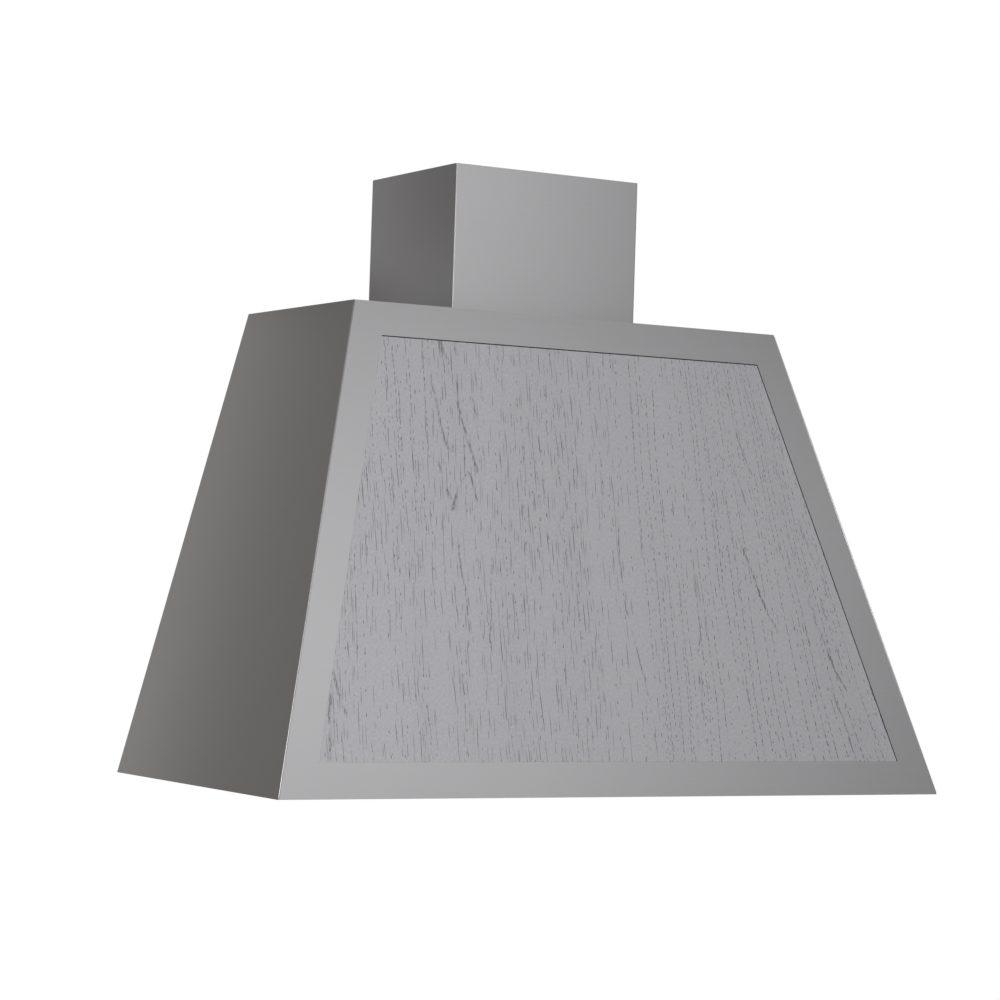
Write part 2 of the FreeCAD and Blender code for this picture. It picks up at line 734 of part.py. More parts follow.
# Saddles: vee blocks on the gutter's front wall, open above, in which the filters' hinge rods lie
filter_saddles = body("filter_saddles")
saddle_top = rod_height - d.rod_radius / 3
vee_depth = (d.rod_radius + d.run_gap) * math.sqrt(2)
vee_half = vee_depth - d.rod_radius / 3
saddle_foot = saddle_top - d.saddle_height
saddle = [(-rod_front - d.saddle_half_depth, saddle_foot), (-gutter_front, saddle_foot),
          (-gutter_front, saddle_top), (-rod_front + vee_half, saddle_top),
          (-rod_front, rod_height - vee_depth), (-rod_front - vee_half, saddle_top),
          (-rod_front - d.saddle_half_depth, saddle_top)]
for i, place in enumerate(FILTERS.values()):
    for side in (-1, 1):
        start = place * filter_pitch + side * d.saddle_spread - d.saddle_width / 2
        plate(filter_saddles, f"block_{i}_{side + 1}", "YZ", start, d.saddle_width, [saddle])

# Magnetic catches on the front coaming: the filters swing up against them
filter_catches = body("filter_catches")
filter_front_top = rod_height + d.filter_rise + tilt_cosine * filter_depth_up
catch_half = d.catch_width / 2
catch_spots = [place * filter_pitch + side * d.catch_spread for place in FILTERS.values() for side in (-1, 1)]
catches = [rectangle(x - catch_half, x + catch_half, -coaming_front, d.catch_depth - coaming_front)
           for x in catch_spots]
plate(filter_catches, "blocks", "XY", filter_front_top + d.seat_gap, d.catch_height, catches)

# Baffle filters. Each has its own frame: the hinge rod is the X axis, Y runs back, and the frame is tilted
# so that grease runs to the rear. The frame is a channel ring, and its baffles interleave in two rows.
baffle_margin = d.filter_gauge + d.fit_gap
lower_baffles = int((filter_width.value - 2 * SIZES["filter_gauge"]) // SIZES["baffle_pitch"] - 1)


def baffle(x, base, up):
    """A channel's section: its web at base, and its walls towards up (1) or down (-1)."""
    half = d.baffle_width / 2
    tip = base + up * d.baffle_depth
    web = base + up * d.baffle_gauge
    left, right = x - half, x + half
    left_in, right_in = left + d.baffle_gauge, right - d.baffle_gauge
    return [(left, tip), (left, base), (right, base), (right, tip),
            (right_in, tip), (right_in, web), (left_in, web), (left_in, tip)]


for label, place in FILTERS.items():
    hinge = (place * filter_pitch, -rod_front, rod_height)
    half = filter_width / 2
    frame = body(f"{label}_frame", hinge, Vector(1, 0, 0), filter_angle)
    plate(frame, "block", "XY", d.rod_drop, d.filter_thickness,
          [rectangle(-half, half, -filter_reach, d.filter_tail)])
    cut(frame, "window", "XY", d.rod_drop, d.filter_thickness,
        [rectangle(d.filter_side - half, half - d.filter_side,
                   d.filter_front - filter_reach, d.filter_tail - d.filter_rear)])
    cut(frame, "channel", "XY", d.rod_drop + d.filter_gauge, d.filter_thickness - 2 * d.filter_gauge,
        [rectangle(d.filter_gauge - half, half - d.filter_gauge,
                   d.filter_gauge - filter_reach, d.filter_tail - d.filter_gauge)])
    plate(frame, "rod", "YZ", -d.rod_half_length, 2 * d.rod_half_length, circles=[((0, 0), d.rod_radius)])
    ear = rectangle(-d.rod_radius, d.rod_radius, 0, d.rod_drop)
    for name, start in (("left_ear", -d.rod_half_length), ("right_ear", d.rod_half_length - d.ear_gauge)):
        plate(frame, name, "YZ", start, d.ear_gauge, [ear])

    baffles = body(f"{label}_baffles", hinge, Vector(1, 0, 0), filter_angle)
    spread = (lower_baffles - 1) * d.baffle_pitch
    low = d.rod_drop + baffle_margin
    high = filter_depth_up - baffle_margin
    run = filter_reach + d.filter_tail - 2 * baffle_margin
    lower = plate(baffles, "lower", "XZ", baffle_margin - d.filter_tail, run, [baffle(-spread / 2, low, 1)])
    repeated(baffles, lower, "X", lower_baffles, spread)
    upper = plate(baffles, "upper", "XZ", baffle_margin - d.filter_tail, run,
                  [baffle(-(spread + d.baffle_pitch) / 2, high, -1)])
    repeated(baffles, upper, "X", lower_baffles + 1, spread + d.baffle_pitch)

    handle = body(f"{label}_handle", hinge, Vector(1, 0, 0), filter_angle)
    grip_front = filter_reach - d.filter_front / 2
    grip_low = d.rod_drop - d.handle_drop
    wide = d.handle_half_width
    bend = d.handle_bend
    path = sketch(handle, "path", "XZ", grip_front)
    elbow = grip_low + bend
    draw(path, [(-wide, d.rod_drop), (-wide, elbow), (bend - wide, grip_low),
                (wide - bend, grip_low), (wide, elbow), (wide, d.rod_drop)],
         {1: (bend, (bend - wide, elbow), 1), 3: (bend, (wide - bend, elbow), 1)}, closed=False)
    grip = handle.newObject("PartDesign::AdditivePipe", f"{handle.Label}_grip")
    grip.Profile = sketch(handle, "section", "XY", d.rod_drop,
                          circles=[((-wide, -grip_front), d.handle_radius)])
    grip.Spine = (path, [f"Edge{i}" for i in range(1, 6)])

# Lamps: a bezel under the light panel, its lens on the bezel's lip, and a finned body above
barrel_inside = d.barrel_radius - d.barrel_gauge
bezel_under = d.rim_height - d.bezel_proud
lens_seat = bezel_under + d.bezel_lip
lens_top = lens_seat + d.lens_thickness


def discs(radius):
    return [(centre, radius) for centre in lamp_spots]


lamp_bezels = body("lamp_bezels")
plate(lamp_bezels, "lip", "XY", bezel_under, d.bezel_lip,
      circles=discs(d.bezel_radius) + discs(d.bezel_lip_radius))
plate(lamp_bezels, "flange", "XY", lens_seat, d.bezel_proud - d.bezel_lip,
      circles=discs(d.bezel_radius) + discs(barrel_inside))
plate(lamp_bezels, "barrel", "XY", d.rim_height, d.barrel_height,
      circles=discs(d.barrel_radius) + discs(barrel_inside))
lamp_lenses = body("lamp_lenses")
plate(lamp_lenses, "disc", "XY", lens_seat, d.lens_thickness, circles=discs(barrel_inside - d.seat_gap))
lamp_bodies = body("lamp_bodies")
lamp_base = lens_top + d.fit_gap
fins_from = lamp_base + d.lamp_body_height
plate(lamp_bodies, "base", "XY", lamp_base, d.lamp_body_height, circles=discs(barrel_inside - d.seat_gap))
plate(lamp_bodies, "core", "XY", fins_from, LAMP_FINS * d.fin_pitch, circles=discs(d.fin_core_radius))
for i in range(1, LAMP_FINS + 1):
    plate(lamp_bodies, f"fin_{i}", "XY", fins_from + i * d.fin_pitch - d.fin_gauge, d.fin_gauge,
          circles=discs(d.fin_radius))

# Controls: the plate under the light panel, the box above it, the switch board and the push buttons
control_plate = body("control_plate")
plate_low = d.rim_height - d.control_gauge
half_long = d.control_length / 2
half_deep = d.control_depth / 2
plate(control_plate, "sheet", "XY", plate_low, d.control_gauge,
      [centred(half_long, half_deep, *control_centre)],
      [(centre, d.button_radius + d.button_play) for centre in button_spots])
eased(control_plate, "Fillet", d.control_corner,
      [(x * half_long, y * half_deep - lamp_front, d.rim_height - d.control_gauge / 2)
       for x in (-1, 1) for y in (-1, 1)])

control_box = body("control_box")
box_half_long = d.control_slot_length / 2 + d.control_box_margin
box_half_deep = d.control_slot_depth / 2 + d.control_box_margin
board_under = d.rim_height + d.board_lift
board_top = board_under + d.board_gauge
lid_under = liner_top + d.control_box_height - d.box_gauge
plate(control_box, "block", "XY", liner_top, d.control_box_height,
      [centred(box_half_long, box_half_deep, *control_centre)])
cut(control_box, "inside", "XY", liner_top, d.control_box_height - d.box_gauge,
    [centred(box_half_long - d.box_gauge, box_half_deep - d.box_gauge, *control_centre)])
board_half_long = box_half_long - d.box_gauge - d.board_margin
board_half_deep = box_half_deep - d.box_gauge - d.board_margin
standoff_x = board_half_long - d.standoff_radius
standoff_y = board_half_deep - d.standoff_radius
plate(control_box, "standoffs", "XY", board_top, lid_under - board_top,
      circles=[((x * standoff_x, y * standoff_y - lamp_front), d.standoff_radius)
               for x in (-1, 1) for y in (-1, 1)])

control_board = body("control_board")
plate(control_board, "board", "XY", board_under, d.board_gauge,
      [centred(board_half_long, board_half_deep, *control_centre)])
plate(control_board, "switches", "XY", board_under - d.switch_height, d.switch_height,
      [centred(d.switch_side / 2, d.switch_side / 2, *centre) for centre in button_spots])

for label, (x, y) in zip(BUTTONS, button_spots):
    button = body(label, (x, y, d.rim_height))
    cap_low = -(d.control_gauge + d.button_proud)
    stem_top = d.board_lift - d.switch_height - d.button_travel - d.seat_gap
    plate(button, "cap", "XY", cap_low, d.fit_gap - cap_low, circles=[((0, 0), d.button_radius)])
    eased(button, "Chamfer", d.button_edge, [(-d.button_radius, 0, cap_low)])
    plate(button, "flange", "XY", d.fit_gap, d.button_flange, circles=[((0, 0), d.button_flange_radius)])
    plate(button, "stem", "XY", d.fit_gap + d.button_flange, stem_top - d.fit_gap - d.button_flange,
          circles=[((0, 0), d.button_stem_radius)])

# Blower, drawn from the wheel's own axis: the scroll is three arcs whose radius grows by a step each, from the
# tongue 60 degrees above the rear, forwards, down and back up to the outlet.
blower_at = (0, -wheel_front, d.blower_height)
outlet_top = under_roof - d.fit_gap - d.blower_height
tongue_rise = math.sqrt(0.75)
step_two = scroll_radius + d.scroll_step
step_three = step_two + d.scroll_step
scroll_centres = ((d.scroll_step, d.scroll_step), (d.scroll_step, 0), (0, 0))


def scroll_line(inset):
    """The scroll from the outlet's rear wall round to the tongue, inset from its outer face, with its arcs."""
    radii = (step_three - inset, step_two - inset, scroll_radius - inset)
    points = [(throat_end - inset, d.scroll_step), (d.scroll_step, d.scroll_step - radii[0]),
              (-radii[2], 0), (radii[2] / 2, radii[2] * tongue_rise)]
    arcs = [(radius, centre, -1) for radius, centre in zip(radii, scroll_centres)]
    return points, arcs


outer_line, outer_arcs = scroll_line(as_size(0))
inner_line, inner_arcs = scroll_line(d.blower_gauge)
flange_under = outlet_top - d.blower_gauge
rear_lip = throat_end + d.blower_flange
front_lip = tongue - d.blower_flange
tongue_inside = tongue + d.blower_gauge
scroll_wrap = body("scroll_wrap", blower_at)
wrap = ([(rear_lip, outlet_top), (rear_lip, flange_under), (throat_end, flange_under)] + outer_line
        + [(tongue, flange_under), (front_lip, flange_under), (front_lip, outlet_top),
           (tongue_inside, outlet_top), (tongue_inside, inner_line[3][1])]
        + inner_line[::-1] + [(throat_end - d.blower_gauge, outlet_top)])
wrap_arcs = {3 + i: arc for i, arc in enumerate(outer_arcs)}
for i, (radius, centre, turn) in enumerate(inner_arcs[::-1]):
    wrap_arcs[12 + i] = (radius, centre, -turn)
wrap_half = d.scroll_width / 2 - d.blower_gauge
plate(scroll_wrap, "sheet", "YZ", -wrap_half, 2 * wrap_half, [(wrap, wrap_arcs)])
cut(scroll_wrap, "screw_holes", "XY", flange_under, d.blower_gauge,
    circles=[((x, y + wheel_front), d.screw_hole_radius) for x, y in blower_screws])

for label, side in (("scroll_left_side", -1), ("scroll_right_side", 1)):
    side_plate = body(label, blower_at)
    start = wrap_half if side > 0 else -d.scroll_width / 2
    outline = [(throat_end, outlet_top)] + outer_line + [(tongue, outlet_top)]
    outline_arcs = {1 + i: arc for i, arc in enumerate(outer_arcs)}
    plate(side_plate, "sheet", "YZ", start, d.blower_gauge, [(outline, outline_arcs)], [((0, 0), inlet_radius)])
    plate(side_plate, "flange", "XY", flange_under, d.blower_gauge,
          [rectangle(side * wrap_half, side * (d.scroll_width / 2 + d.blower_flange), tongue, throat_end)])
    mouth = side * d.scroll_width / 2
    throat = side * (d.scroll_width / 2 - d.inlet_lip)
    turned(side_plate, "inlet_ring", "X",
           [[(mouth, inlet_radius), (mouth, inlet_radius + d.blower_gauge),
             (throat, inlet_throat + d.blower_gauge), (throat, inlet_throat)]])

# Double-inlet wheel: hub, middle disc, end rings and forward-curved blades
blower_wheel = body("blower_wheel", blower_at)
hub_half = d.hub_length / 2
disc_half = d.ring_gauge / 2
bore = d.shaft_radius + d.shaft_gap
root_radius = wheel_radius - d.blade_depth
wheel_half = d.wheel_width / 2
turned(blower_wheel, "hub_and_disc", "X",
       [[(-hub_half, bore), (hub_half, bore), (hub_half, d.hub_radius), (disc_half, d.hub_radius),
         (disc_half, wheel_radius), (-disc_half, wheel_radius), (-disc_half, d.hub_radius),
         (-hub_half, d.hub_radius)]])
blade_inner = d.blade_curve - d.blade_gauge
blade_centre = (root_radius, d.blade_curve)
blade = [(root_radius, 0),
         (root_radius + d.blade_curve * tongue_rise, d.blade_curve / 2),
         (root_radius + blade_inner * tongue_rise, d.blade_curve - blade_inner / 2),
         (root_radius, d.blade_gauge)]
blades = plate(blower_wheel, "blade", "YZ", -wheel_half, d.wheel_width,
               [(blade, {0: (d.blade_curve, blade_centre, 1), 2: (blade_inner, blade_centre, -1)})])
repeated(blower_wheel, blades, "X", WHEEL_BLADES)
for name, start in (("left_ring", -wheel_half), ("right_ring", wheel_half - d.ring_gauge)):
    plate(blower_wheel, name, "YZ", start, d.ring_gauge,
          circles=[((0, 0), wheel_radius), ((0, 0), root_radius - d.ring_gauge)])

# Motor at the left inlet, its bracket on the scroll's side plate, and the shaft that carries the wheel
motor_front = -(d.scroll_width / 2 + d.motor_offset)
motor_rear = motor_front - d.motor_length
boss_front = motor_front + d.motor_boss
bearing_end = boss_front - d.bearing_depth
motor = body("motor", blower_at)
turned(motor, "case", "X",
       [[(motor_rear, 0), (motor_rear, d.motor_radius - d.motor_bevel),
         (motor_rear + d.motor_bevel, d.motor_radius), (motor_front - d.motor_bevel, d.motor_radius),
         (motor_front, d.motor_radius - d.motor_bevel), (motor_front, d.motor_boss_radius),
         (boss_front, d.motor_boss_radius), (boss_front, bore), (bearing_end, bore), (bearing_end, 0)]])
blower_shaft = body("blower_shaft", blower_at)
shaft_start = bearing_end + d.seat_gap
plate(blower_shaft, "bar", "YZ", shaft_start, hub_half - shaft_start, circles=[((0, 0), d.shaft_radius)])

motor_bracket = body("motor_bracket", blower_at)
clamp_middle = (motor_front + motor_rear) / 2
clamp_in = d.motor_radius + d.fit_gap
clamp_out = clamp_in + d.clamp_gauge
arm_in = inlet_radius + d.arm_foot
foot_plane = -d.scroll_width / 2
plate(motor_bracket, "clamp", "YZ", clamp_middle - d.clamp_width / 2, d.clamp_width,
      circles=[((0, 0), clamp_out), ((0, 0), clamp_in)])
arm_left = clamp_middle - d.clamp_gauge / 2
arm_right = arm_left + d.clamp_gauge
arm_root = clamp_out - d.clamp_gauge / 2
arm_under = arm_in - d.clamp_gauge
foot_back = foot_plane - d.clamp_gauge
arm_profile = [(arm_left, arm_root), (arm_right, arm_root), (arm_right, arm_under), (foot_plane, arm_under),
               (foot_plane, arm_in + d.arm_foot), (foot_back, arm_in + d.arm_foot), (foot_back, arm_in),
               (arm_left, arm_in)]
arm = plate(motor_bracket, "arm", "XZ", -d.arm_width / 2, d.arm_width, [arm_profile])
repeated(motor_bracket, arm, "X", BRACKET_ARMS)

# Outlet collar for a round duct, with the damper's ledge and crossbar inside
collar_at = (0, -duct_front, d.canopy_height)
collar_inside = d.collar_radius - d.collar_gauge
ledge_in = collar_inside - d.ledge_width
ledge_top = d.damper_rise - d.flap_gauge / 2 - d.seat_gap
ledge_under = ledge_top - d.ledge_gauge
duct_collar = body("duct_collar", collar_at)
turned(duct_collar, "tube", "Z",
       [[(collar_inside, 0), (collar_flange_radius, 0), (collar_flange_radius, d.collar_gauge),
         (d.collar_radius, d.collar_gauge), (d.collar_radius, d.collar_height),
         (collar_inside, d.collar_height), (collar_inside, ledge_top), (ledge_in, ledge_top),
         (ledge_in, ledge_under), (collar_inside, ledge_under)]])
bar_half = d.crossbar_half_width
bar_end = root(collar_inside * collar_inside - bar_half * bar_half) + d.collar_gauge / 2
plate(duct_collar, "crossbar", "XY", d.damper_rise - d.crossbar_drop, d.crossbar_gauge,
      [centred(bar_end, bar_half)])
cut(duct_collar, "pin_holes", "YZ", -d.collar_radius, 2 * d.collar_radius,
    circles=[((side * d.pin_offset, d.damper_rise), d.pin_radius + d.pin_gap) for side in (-1, 1)])
cut(duct_collar, "screw_holes", "XY", 0, d.collar_gauge,
    circles=[((x, y + duct_front), d.screw_hole_radius) for x, y in collar_screws])

# Damper: two flaps whose knuckles turn on pins, closed by their own weight on the ledge
flap_radius = collar_inside - d.flap_gap
flap_half = root(flap_radius * flap_radius - d.pin_offset * d.pin_offset)
pin_bore = d.pin_radius + d.pin_gap
for label, side in (("damper_flap_front", -1), ("damper_flap_rear", 1)):
    flap = body(label, (0, side * d.pin_offset - duct_front, d.canopy_height + d.damper_rise))
    plate(flap, "leaf", "XY", -d.flap_gauge / 2, d.flap_gauge,
          [([(-flap_half, 0), (flap_half, 0)], {1: (flap_radius, (0, -side * d.pin_offset), side)})])
    plate(flap, "knuckle", "YZ", -d.knuckle_half_length, 2 * d.knuckle_half_length,
          circles=[((0, 0), pin_bore + d.knuckle_gauge)])
    cut(flap, "pin_bore", "YZ", -d.collar_radius, 2 * d.collar_radius, circles=[((0, 0), pin_bore)])
damper_pins = body("damper_pins", (0, -duct_front, d.canopy_height + d.damper_rise))
pin_reach = d.pin_offset + d.pin_radius
pin_half = root(d.collar_radius * d.collar_radius - pin_reach * pin_reach) - d.fit_gap
plate(damper_pins, "pins", "YZ", -pin_half, 2 * pin_half,
      circles=[((side * d.pin_offset, 0), d.pin_radius) for side in (-1, 1)])

# Chimney cover: one folded sheet, open above and at the wall, with return flanges at the rear
chimney_cover = body("chimney_cover", (0, 0, d.canopy_height))
chimney_half = d.chimney_width / 2
inner_half = chimney_half - d.chimney_gauge
inner_front = d.chimney_depth - d.chimney_gauge
return_in = chimney_half - d.chimney_return
right_side = [(chimney_half, -d.chimney_depth), (chimney_half, 0), (return_in, 0),
              (return_in, -d.chimney_gauge), (inner_half, -d.chimney_gauge), (inner_half, -inner_front)]
folds = right_side + [mirrored(corner) for corner in right_side[::-1]]
plate(chimney_cover, "sheet", "XY", 0, d.chimney_height, [folds])
middle = d.chimney_height / 2
eased(chimney_cover, "Fillet", d.chimney_bend,
      [(side * chimney_half, -d.chimney_depth, middle) for side in (-1, 1)])
eased(chimney_cover, "Fillet", d.chimney_bend - d.chimney_gauge,
      [(side * inner_half, -inner_front, middle) for side in (-1, 1)])

# Wall bracket inside the chimney's top, which traps the return flanges against the wall
chimney_bracket = body("chimney_bracket")
bracket_top = d.canopy_height + d.chimney_height - d.bracket_drop
bracket_holes = [((side * d.bracket_hole_spread, bracket_top - d.bracket_height / 2), d.bracket_hole_radius)
                 for side in (-1, 1)]
strap_rear = d.chimney_gauge + d.fit_gap
for name, half, start, gauge in (("pad", return_in - d.seat_gap, as_size(0), strap_rear),
                                 ("strap", inner_half - d.seat_gap, strap_rear, d.bracket_gauge)):
    plate(chimney_bracket, name, "XZ", start, gauge,
          [rectangle(-half, half, bracket_top - d.bracket_height, bracket_top)], bracket_holes)

# Angles on the top panel that locate the chimney's foot
chimney_angles = body("chimney_angles", (0, 0, d.canopy_height))
leg_inner = chimney_inside - d.angle_gauge
foot_inner = chimney_inside - d.angle_leg
angle_profile = [(chimney_inside, 0), (chimney_inside, d.angle_leg), (leg_inner, d.angle_leg),
                 (leg_inner, d.angle_gauge), (foot_inner, d.angle_gauge), (foot_inner, 0)]
plate(chimney_angles, "angles", "XZ", d.angle_start, d.angle_length,
      [angle_profile, [mirrored(corner) for corner in angle_profile]])
cut(chimney_angles, "screw_holes", "XY", 0, d.angle_gauge,
    circles=[(centre, d.screw_hole_radius) for centre in angle_screws])

# Sheet screws: the collar's and the angles' go down through the top panel, the blower's go up into it
sheet_screws = body("sheet_screws", (0, 0, d.canopy_height))
screw_end = -(d.skin_gauge + d.screw_reach)
for name, spots, seat in (("collar", collar_screws, d.collar_gauge), ("angle", angle_screws, d.angle_gauge)):
    plate(sheet_screws, f"{name}_heads", "XY", seat, d.screw_head,
          circles=[(centre, d.screw_head_radius) for centre in spots])
    plate(sheet_screws, f"{name}_shanks", "XY", screw_end, seat - screw_end,
          circles=[(centre, d.screw_radius) for centre in spots])
blower_seat = -(d.skin_gauge + d.fit_gap + d.blower_gauge)
plate(sheet_screws, "blower_heads", "XY", blower_seat - d.screw_head, d.screw_head,
      circles=[(centre, d.screw_head_radius) for centre in blower_screws])
plate(sheet_screws, "blower_shanks", "XY", blower_seat, -blower_seat - d.fit_gap,
      circles=[(centre, d.screw_radius) for centre in blower_screws])

# Every feature has to be sound before anything is written
document.recompute()
for feature in document.Objects:
    if "Invalid" in feature.State or "Error" in feature.State:
        raise RuntimeError(f"{feature.Label} failed: {feature.State}")
for piece in nodes:
    if piece.Shape.isNull() or not piece.Shape.isValid() or not piece.Shape.Solids:
        raise RuntimeError(f"{piece.Label} has no sound shape")

os.makedirs("parts", exist_ok=True)
for piece in nodes:
    piece.Shape.exportStep(f"parts/{piece.Label}.step")
print(f"{len(nodes)} sub-parts written")
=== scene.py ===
import json
import math

import bpy
from mathutils import Matrix, Vector

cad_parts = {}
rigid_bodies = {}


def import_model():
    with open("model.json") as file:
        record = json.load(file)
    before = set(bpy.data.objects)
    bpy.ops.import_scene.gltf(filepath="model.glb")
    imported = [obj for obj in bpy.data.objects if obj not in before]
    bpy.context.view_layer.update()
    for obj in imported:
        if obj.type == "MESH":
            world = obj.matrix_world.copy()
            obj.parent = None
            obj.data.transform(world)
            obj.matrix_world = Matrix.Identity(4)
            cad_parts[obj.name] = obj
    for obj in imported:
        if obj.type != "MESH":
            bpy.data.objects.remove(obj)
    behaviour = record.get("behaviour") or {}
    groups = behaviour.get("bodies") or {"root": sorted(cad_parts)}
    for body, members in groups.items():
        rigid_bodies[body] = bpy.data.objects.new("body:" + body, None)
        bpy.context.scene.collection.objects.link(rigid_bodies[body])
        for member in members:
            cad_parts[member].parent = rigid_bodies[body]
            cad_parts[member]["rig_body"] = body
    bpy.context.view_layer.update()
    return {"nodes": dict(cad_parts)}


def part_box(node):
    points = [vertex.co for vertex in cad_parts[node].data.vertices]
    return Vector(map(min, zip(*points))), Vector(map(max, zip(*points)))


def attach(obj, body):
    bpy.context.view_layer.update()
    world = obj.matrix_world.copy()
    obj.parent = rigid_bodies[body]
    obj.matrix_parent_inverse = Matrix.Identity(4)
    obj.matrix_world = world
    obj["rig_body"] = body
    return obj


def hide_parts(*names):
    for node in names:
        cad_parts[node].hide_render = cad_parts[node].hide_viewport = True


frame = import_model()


# Canopy skin: two side panels and the four mitred members of the front frame. They are cut from
# 1.5 mm satin stainless sheet, folded, welded along the seams and ground flush. Brush marks run level.
def add(tree, kind, inputs=None, **settings):
    """A node of a tree with its settings made, and each input linked to a socket or set to a value."""
    node = tree.nodes.new(kind)
    for setting, value in settings.items():
        setattr(node, setting, value)
    for socket, value in (inputs or {}).items():
        if isinstance(value, bpy.types.NodeSocket):
            tree.links.new(value, node.inputs[socket])
        else:
            node.inputs[socket].default_value = value
    return node


def calc(tree, operation, *values):
    """The result of a sum on sockets or numbers."""
    return add(tree, "ShaderNodeMath", dict(enumerate(values)), operation=operation).outputs[0]


def ranged(tree, value, low, high, to_low, to_high):
    """A value brought from one range to another and held at its ends."""
    inputs = {"Value": value, "From Min": low, "From Max": high, "To Min": to_low, "To Max": to_high}
    return add(tree, "ShaderNodeMapRange", inputs).outputs["Result"]


def blended(tree, factor, first, second):
    """A colour between two others."""
    node = add(tree, "ShaderNodeMix", {"Factor": factor}, data_type="RGBA")
    for socket, colour in zip([s for s in node.inputs if s.type == "RGBA"], (first, second)):
        if isinstance(colour, bpy.types.NodeSocket):
            tree.links.new(colour, socket)
        else:
            socket.default_value = (*colour, 1)
    return [s for s in node.outputs if s.type == "RGBA"][0]


def effect(name, takes, gives):
    """An empty shader group with its sockets: its tree, what it is given and the node for its results."""
    tree = bpy.data.node_groups.new(name, "ShaderNodeTree")
    for in_out, sockets in (("INPUT", takes), ("OUTPUT", gives)):
        for socket, kind in sockets.items():
            tree.interface.new_socket(socket, in_out=in_out, socket_type="NodeSocket" + kind)
    return tree, tree.nodes.new("NodeGroupInput").outputs, tree.nodes.new("NodeGroupOutput").inputs


def finish(name, **values):
    """A new material: itself, its tree and the inputs of its shader, with the plain values set."""
    material = bpy.data.materials.new(name)
    material.use_nodes = True
    shader = material.node_tree.nodes["Principled BSDF"].inputs
    for socket, value in values.items():
        shader[socket.replace("_", " ").title().replace("Ior", "IOR")].default_value = value
    return material, material.node_tree, shader


def bumped(tree, shader, height, depth):
    """Relief on a surface: the height of 1 stands this many metres proud."""
    bump = add(tree, "ShaderNodeBump", {"Height": height, "Strength": 1.0, "Distance": depth})
    tree.links.new(bump.outputs["Normal"], shader["Normal"])


brush_marks, given, result = effect("brush_marks", {"Along": "Vector", "Place": "Vector"},
                                    {"Streaks": "Float", "Clouds": "Float"})
streaks = add(brush_marks, "ShaderNodeTexNoise", {"Vector": given["Along"], "Scale": 1.0, "Detail": 3.0})
clouds = add(brush_marks, "ShaderNodeTexNoise", {"Vector": given["Place"], "Scale": 4.0, "Detail": 3.0})
brush_marks.links.new(streaks.outputs[0], result["Streaks"])
brush_marks.links.new(clouds.outputs[0], result["Clouds"])


def brushed_steel(name, dark, pale, rough, grain):
    """Satin stainless sheet; grain is how many brush marks there are to a metre along each axis."""
    material, tree, shader = finish(name, metallic=1.0)
    place = add(tree, "ShaderNodeTexCoord").outputs["Object"]
    along = add(tree, "ShaderNodeVectorMath", {0: place, 1: grain}, operation="MULTIPLY").outputs[0]
    marks = add(tree, "ShaderNodeGroup", node_tree=brush_marks)
    tree.links.new(along, marks.inputs["Along"])
    tree.links.new(place, marks.inputs["Place"])
    streak_share = 0.6
    mark_depth = 0.00002
    mixed = calc(tree, "ADD", calc(tree, "MULTIPLY", marks.outputs["Streaks"], streak_share),
                 calc(tree, "MULTIPLY", marks.outputs["Clouds"], 1 - streak_share))
    tree.links.new(blended(tree, ranged(tree, mixed, 0.3, 0.7, 0, 1), dark, pale), shader["Base Color"])
    tree.links.new(ranged(tree, mixed, 0.3, 0.7, *rough), shader["Roughness"])
    bumped(tree, shader, marks.outputs["Streaks"], mark_depth)
    return material


def coat(piece, material):
    """Gives a piece its one material."""
    if not piece.data.materials:
        piece.data.materials.append(material)
    piece.data.materials[0] = material


def pick(piece):
    """Makes a piece the only one that operators act on."""
    bpy.ops.object.select_all(action="DESELECT")
    piece.select_set(True)
    bpy.context.view_layer.objects.active = piece


def dressed(node, material, bend=35):
    """A sub-part as it is finished: its facets joined, and its curves smooth up to an angle of bend."""
    solid = frame["nodes"][node]
    piece = bpy.data.objects.new(node + "_finished", solid.data.copy())
    bpy.context.scene.collection.objects.link(piece)
    pick(piece)
    bpy.ops.object.mode_set(mode="EDIT")
    bpy.ops.mesh.select_all(action="SELECT")
    merge_distance = 0.00001
    bpy.ops.mesh.remove_doubles(threshold=merge_distance)
    bpy.ops.object.mode_set(mode="OBJECT")
    bpy.ops.object.shade_smooth_by_angle(angle=math.radians(bend))
    coat(piece, material)
    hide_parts(node)
    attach(piece, solid["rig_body"])


marks_across = (6, 1400, 1400)
marks_front_to_back = (1400, 6, 1400)
canopy_steel = brushed_steel("canopy_steel", (0.368, 0.363, 0.368), (0.4, 0.395, 0.402), (0.38, 0.46), marks_across)
side_steel = brushed_steel("side_steel", (0.345, 0.34, 0.335), (0.375, 0.37, 0.365), (0.4, 0.48),
                           marks_front_to_back)
for member in ("frame_top_rail", "frame_bottom_rail", "frame_left_stile", "frame_right_stile"):
    coat(frame["nodes"][member], canopy_steel)
for side in ("left_side_panel", "right_side_panel"):
    coat(frame["nodes"][side], side_steel)


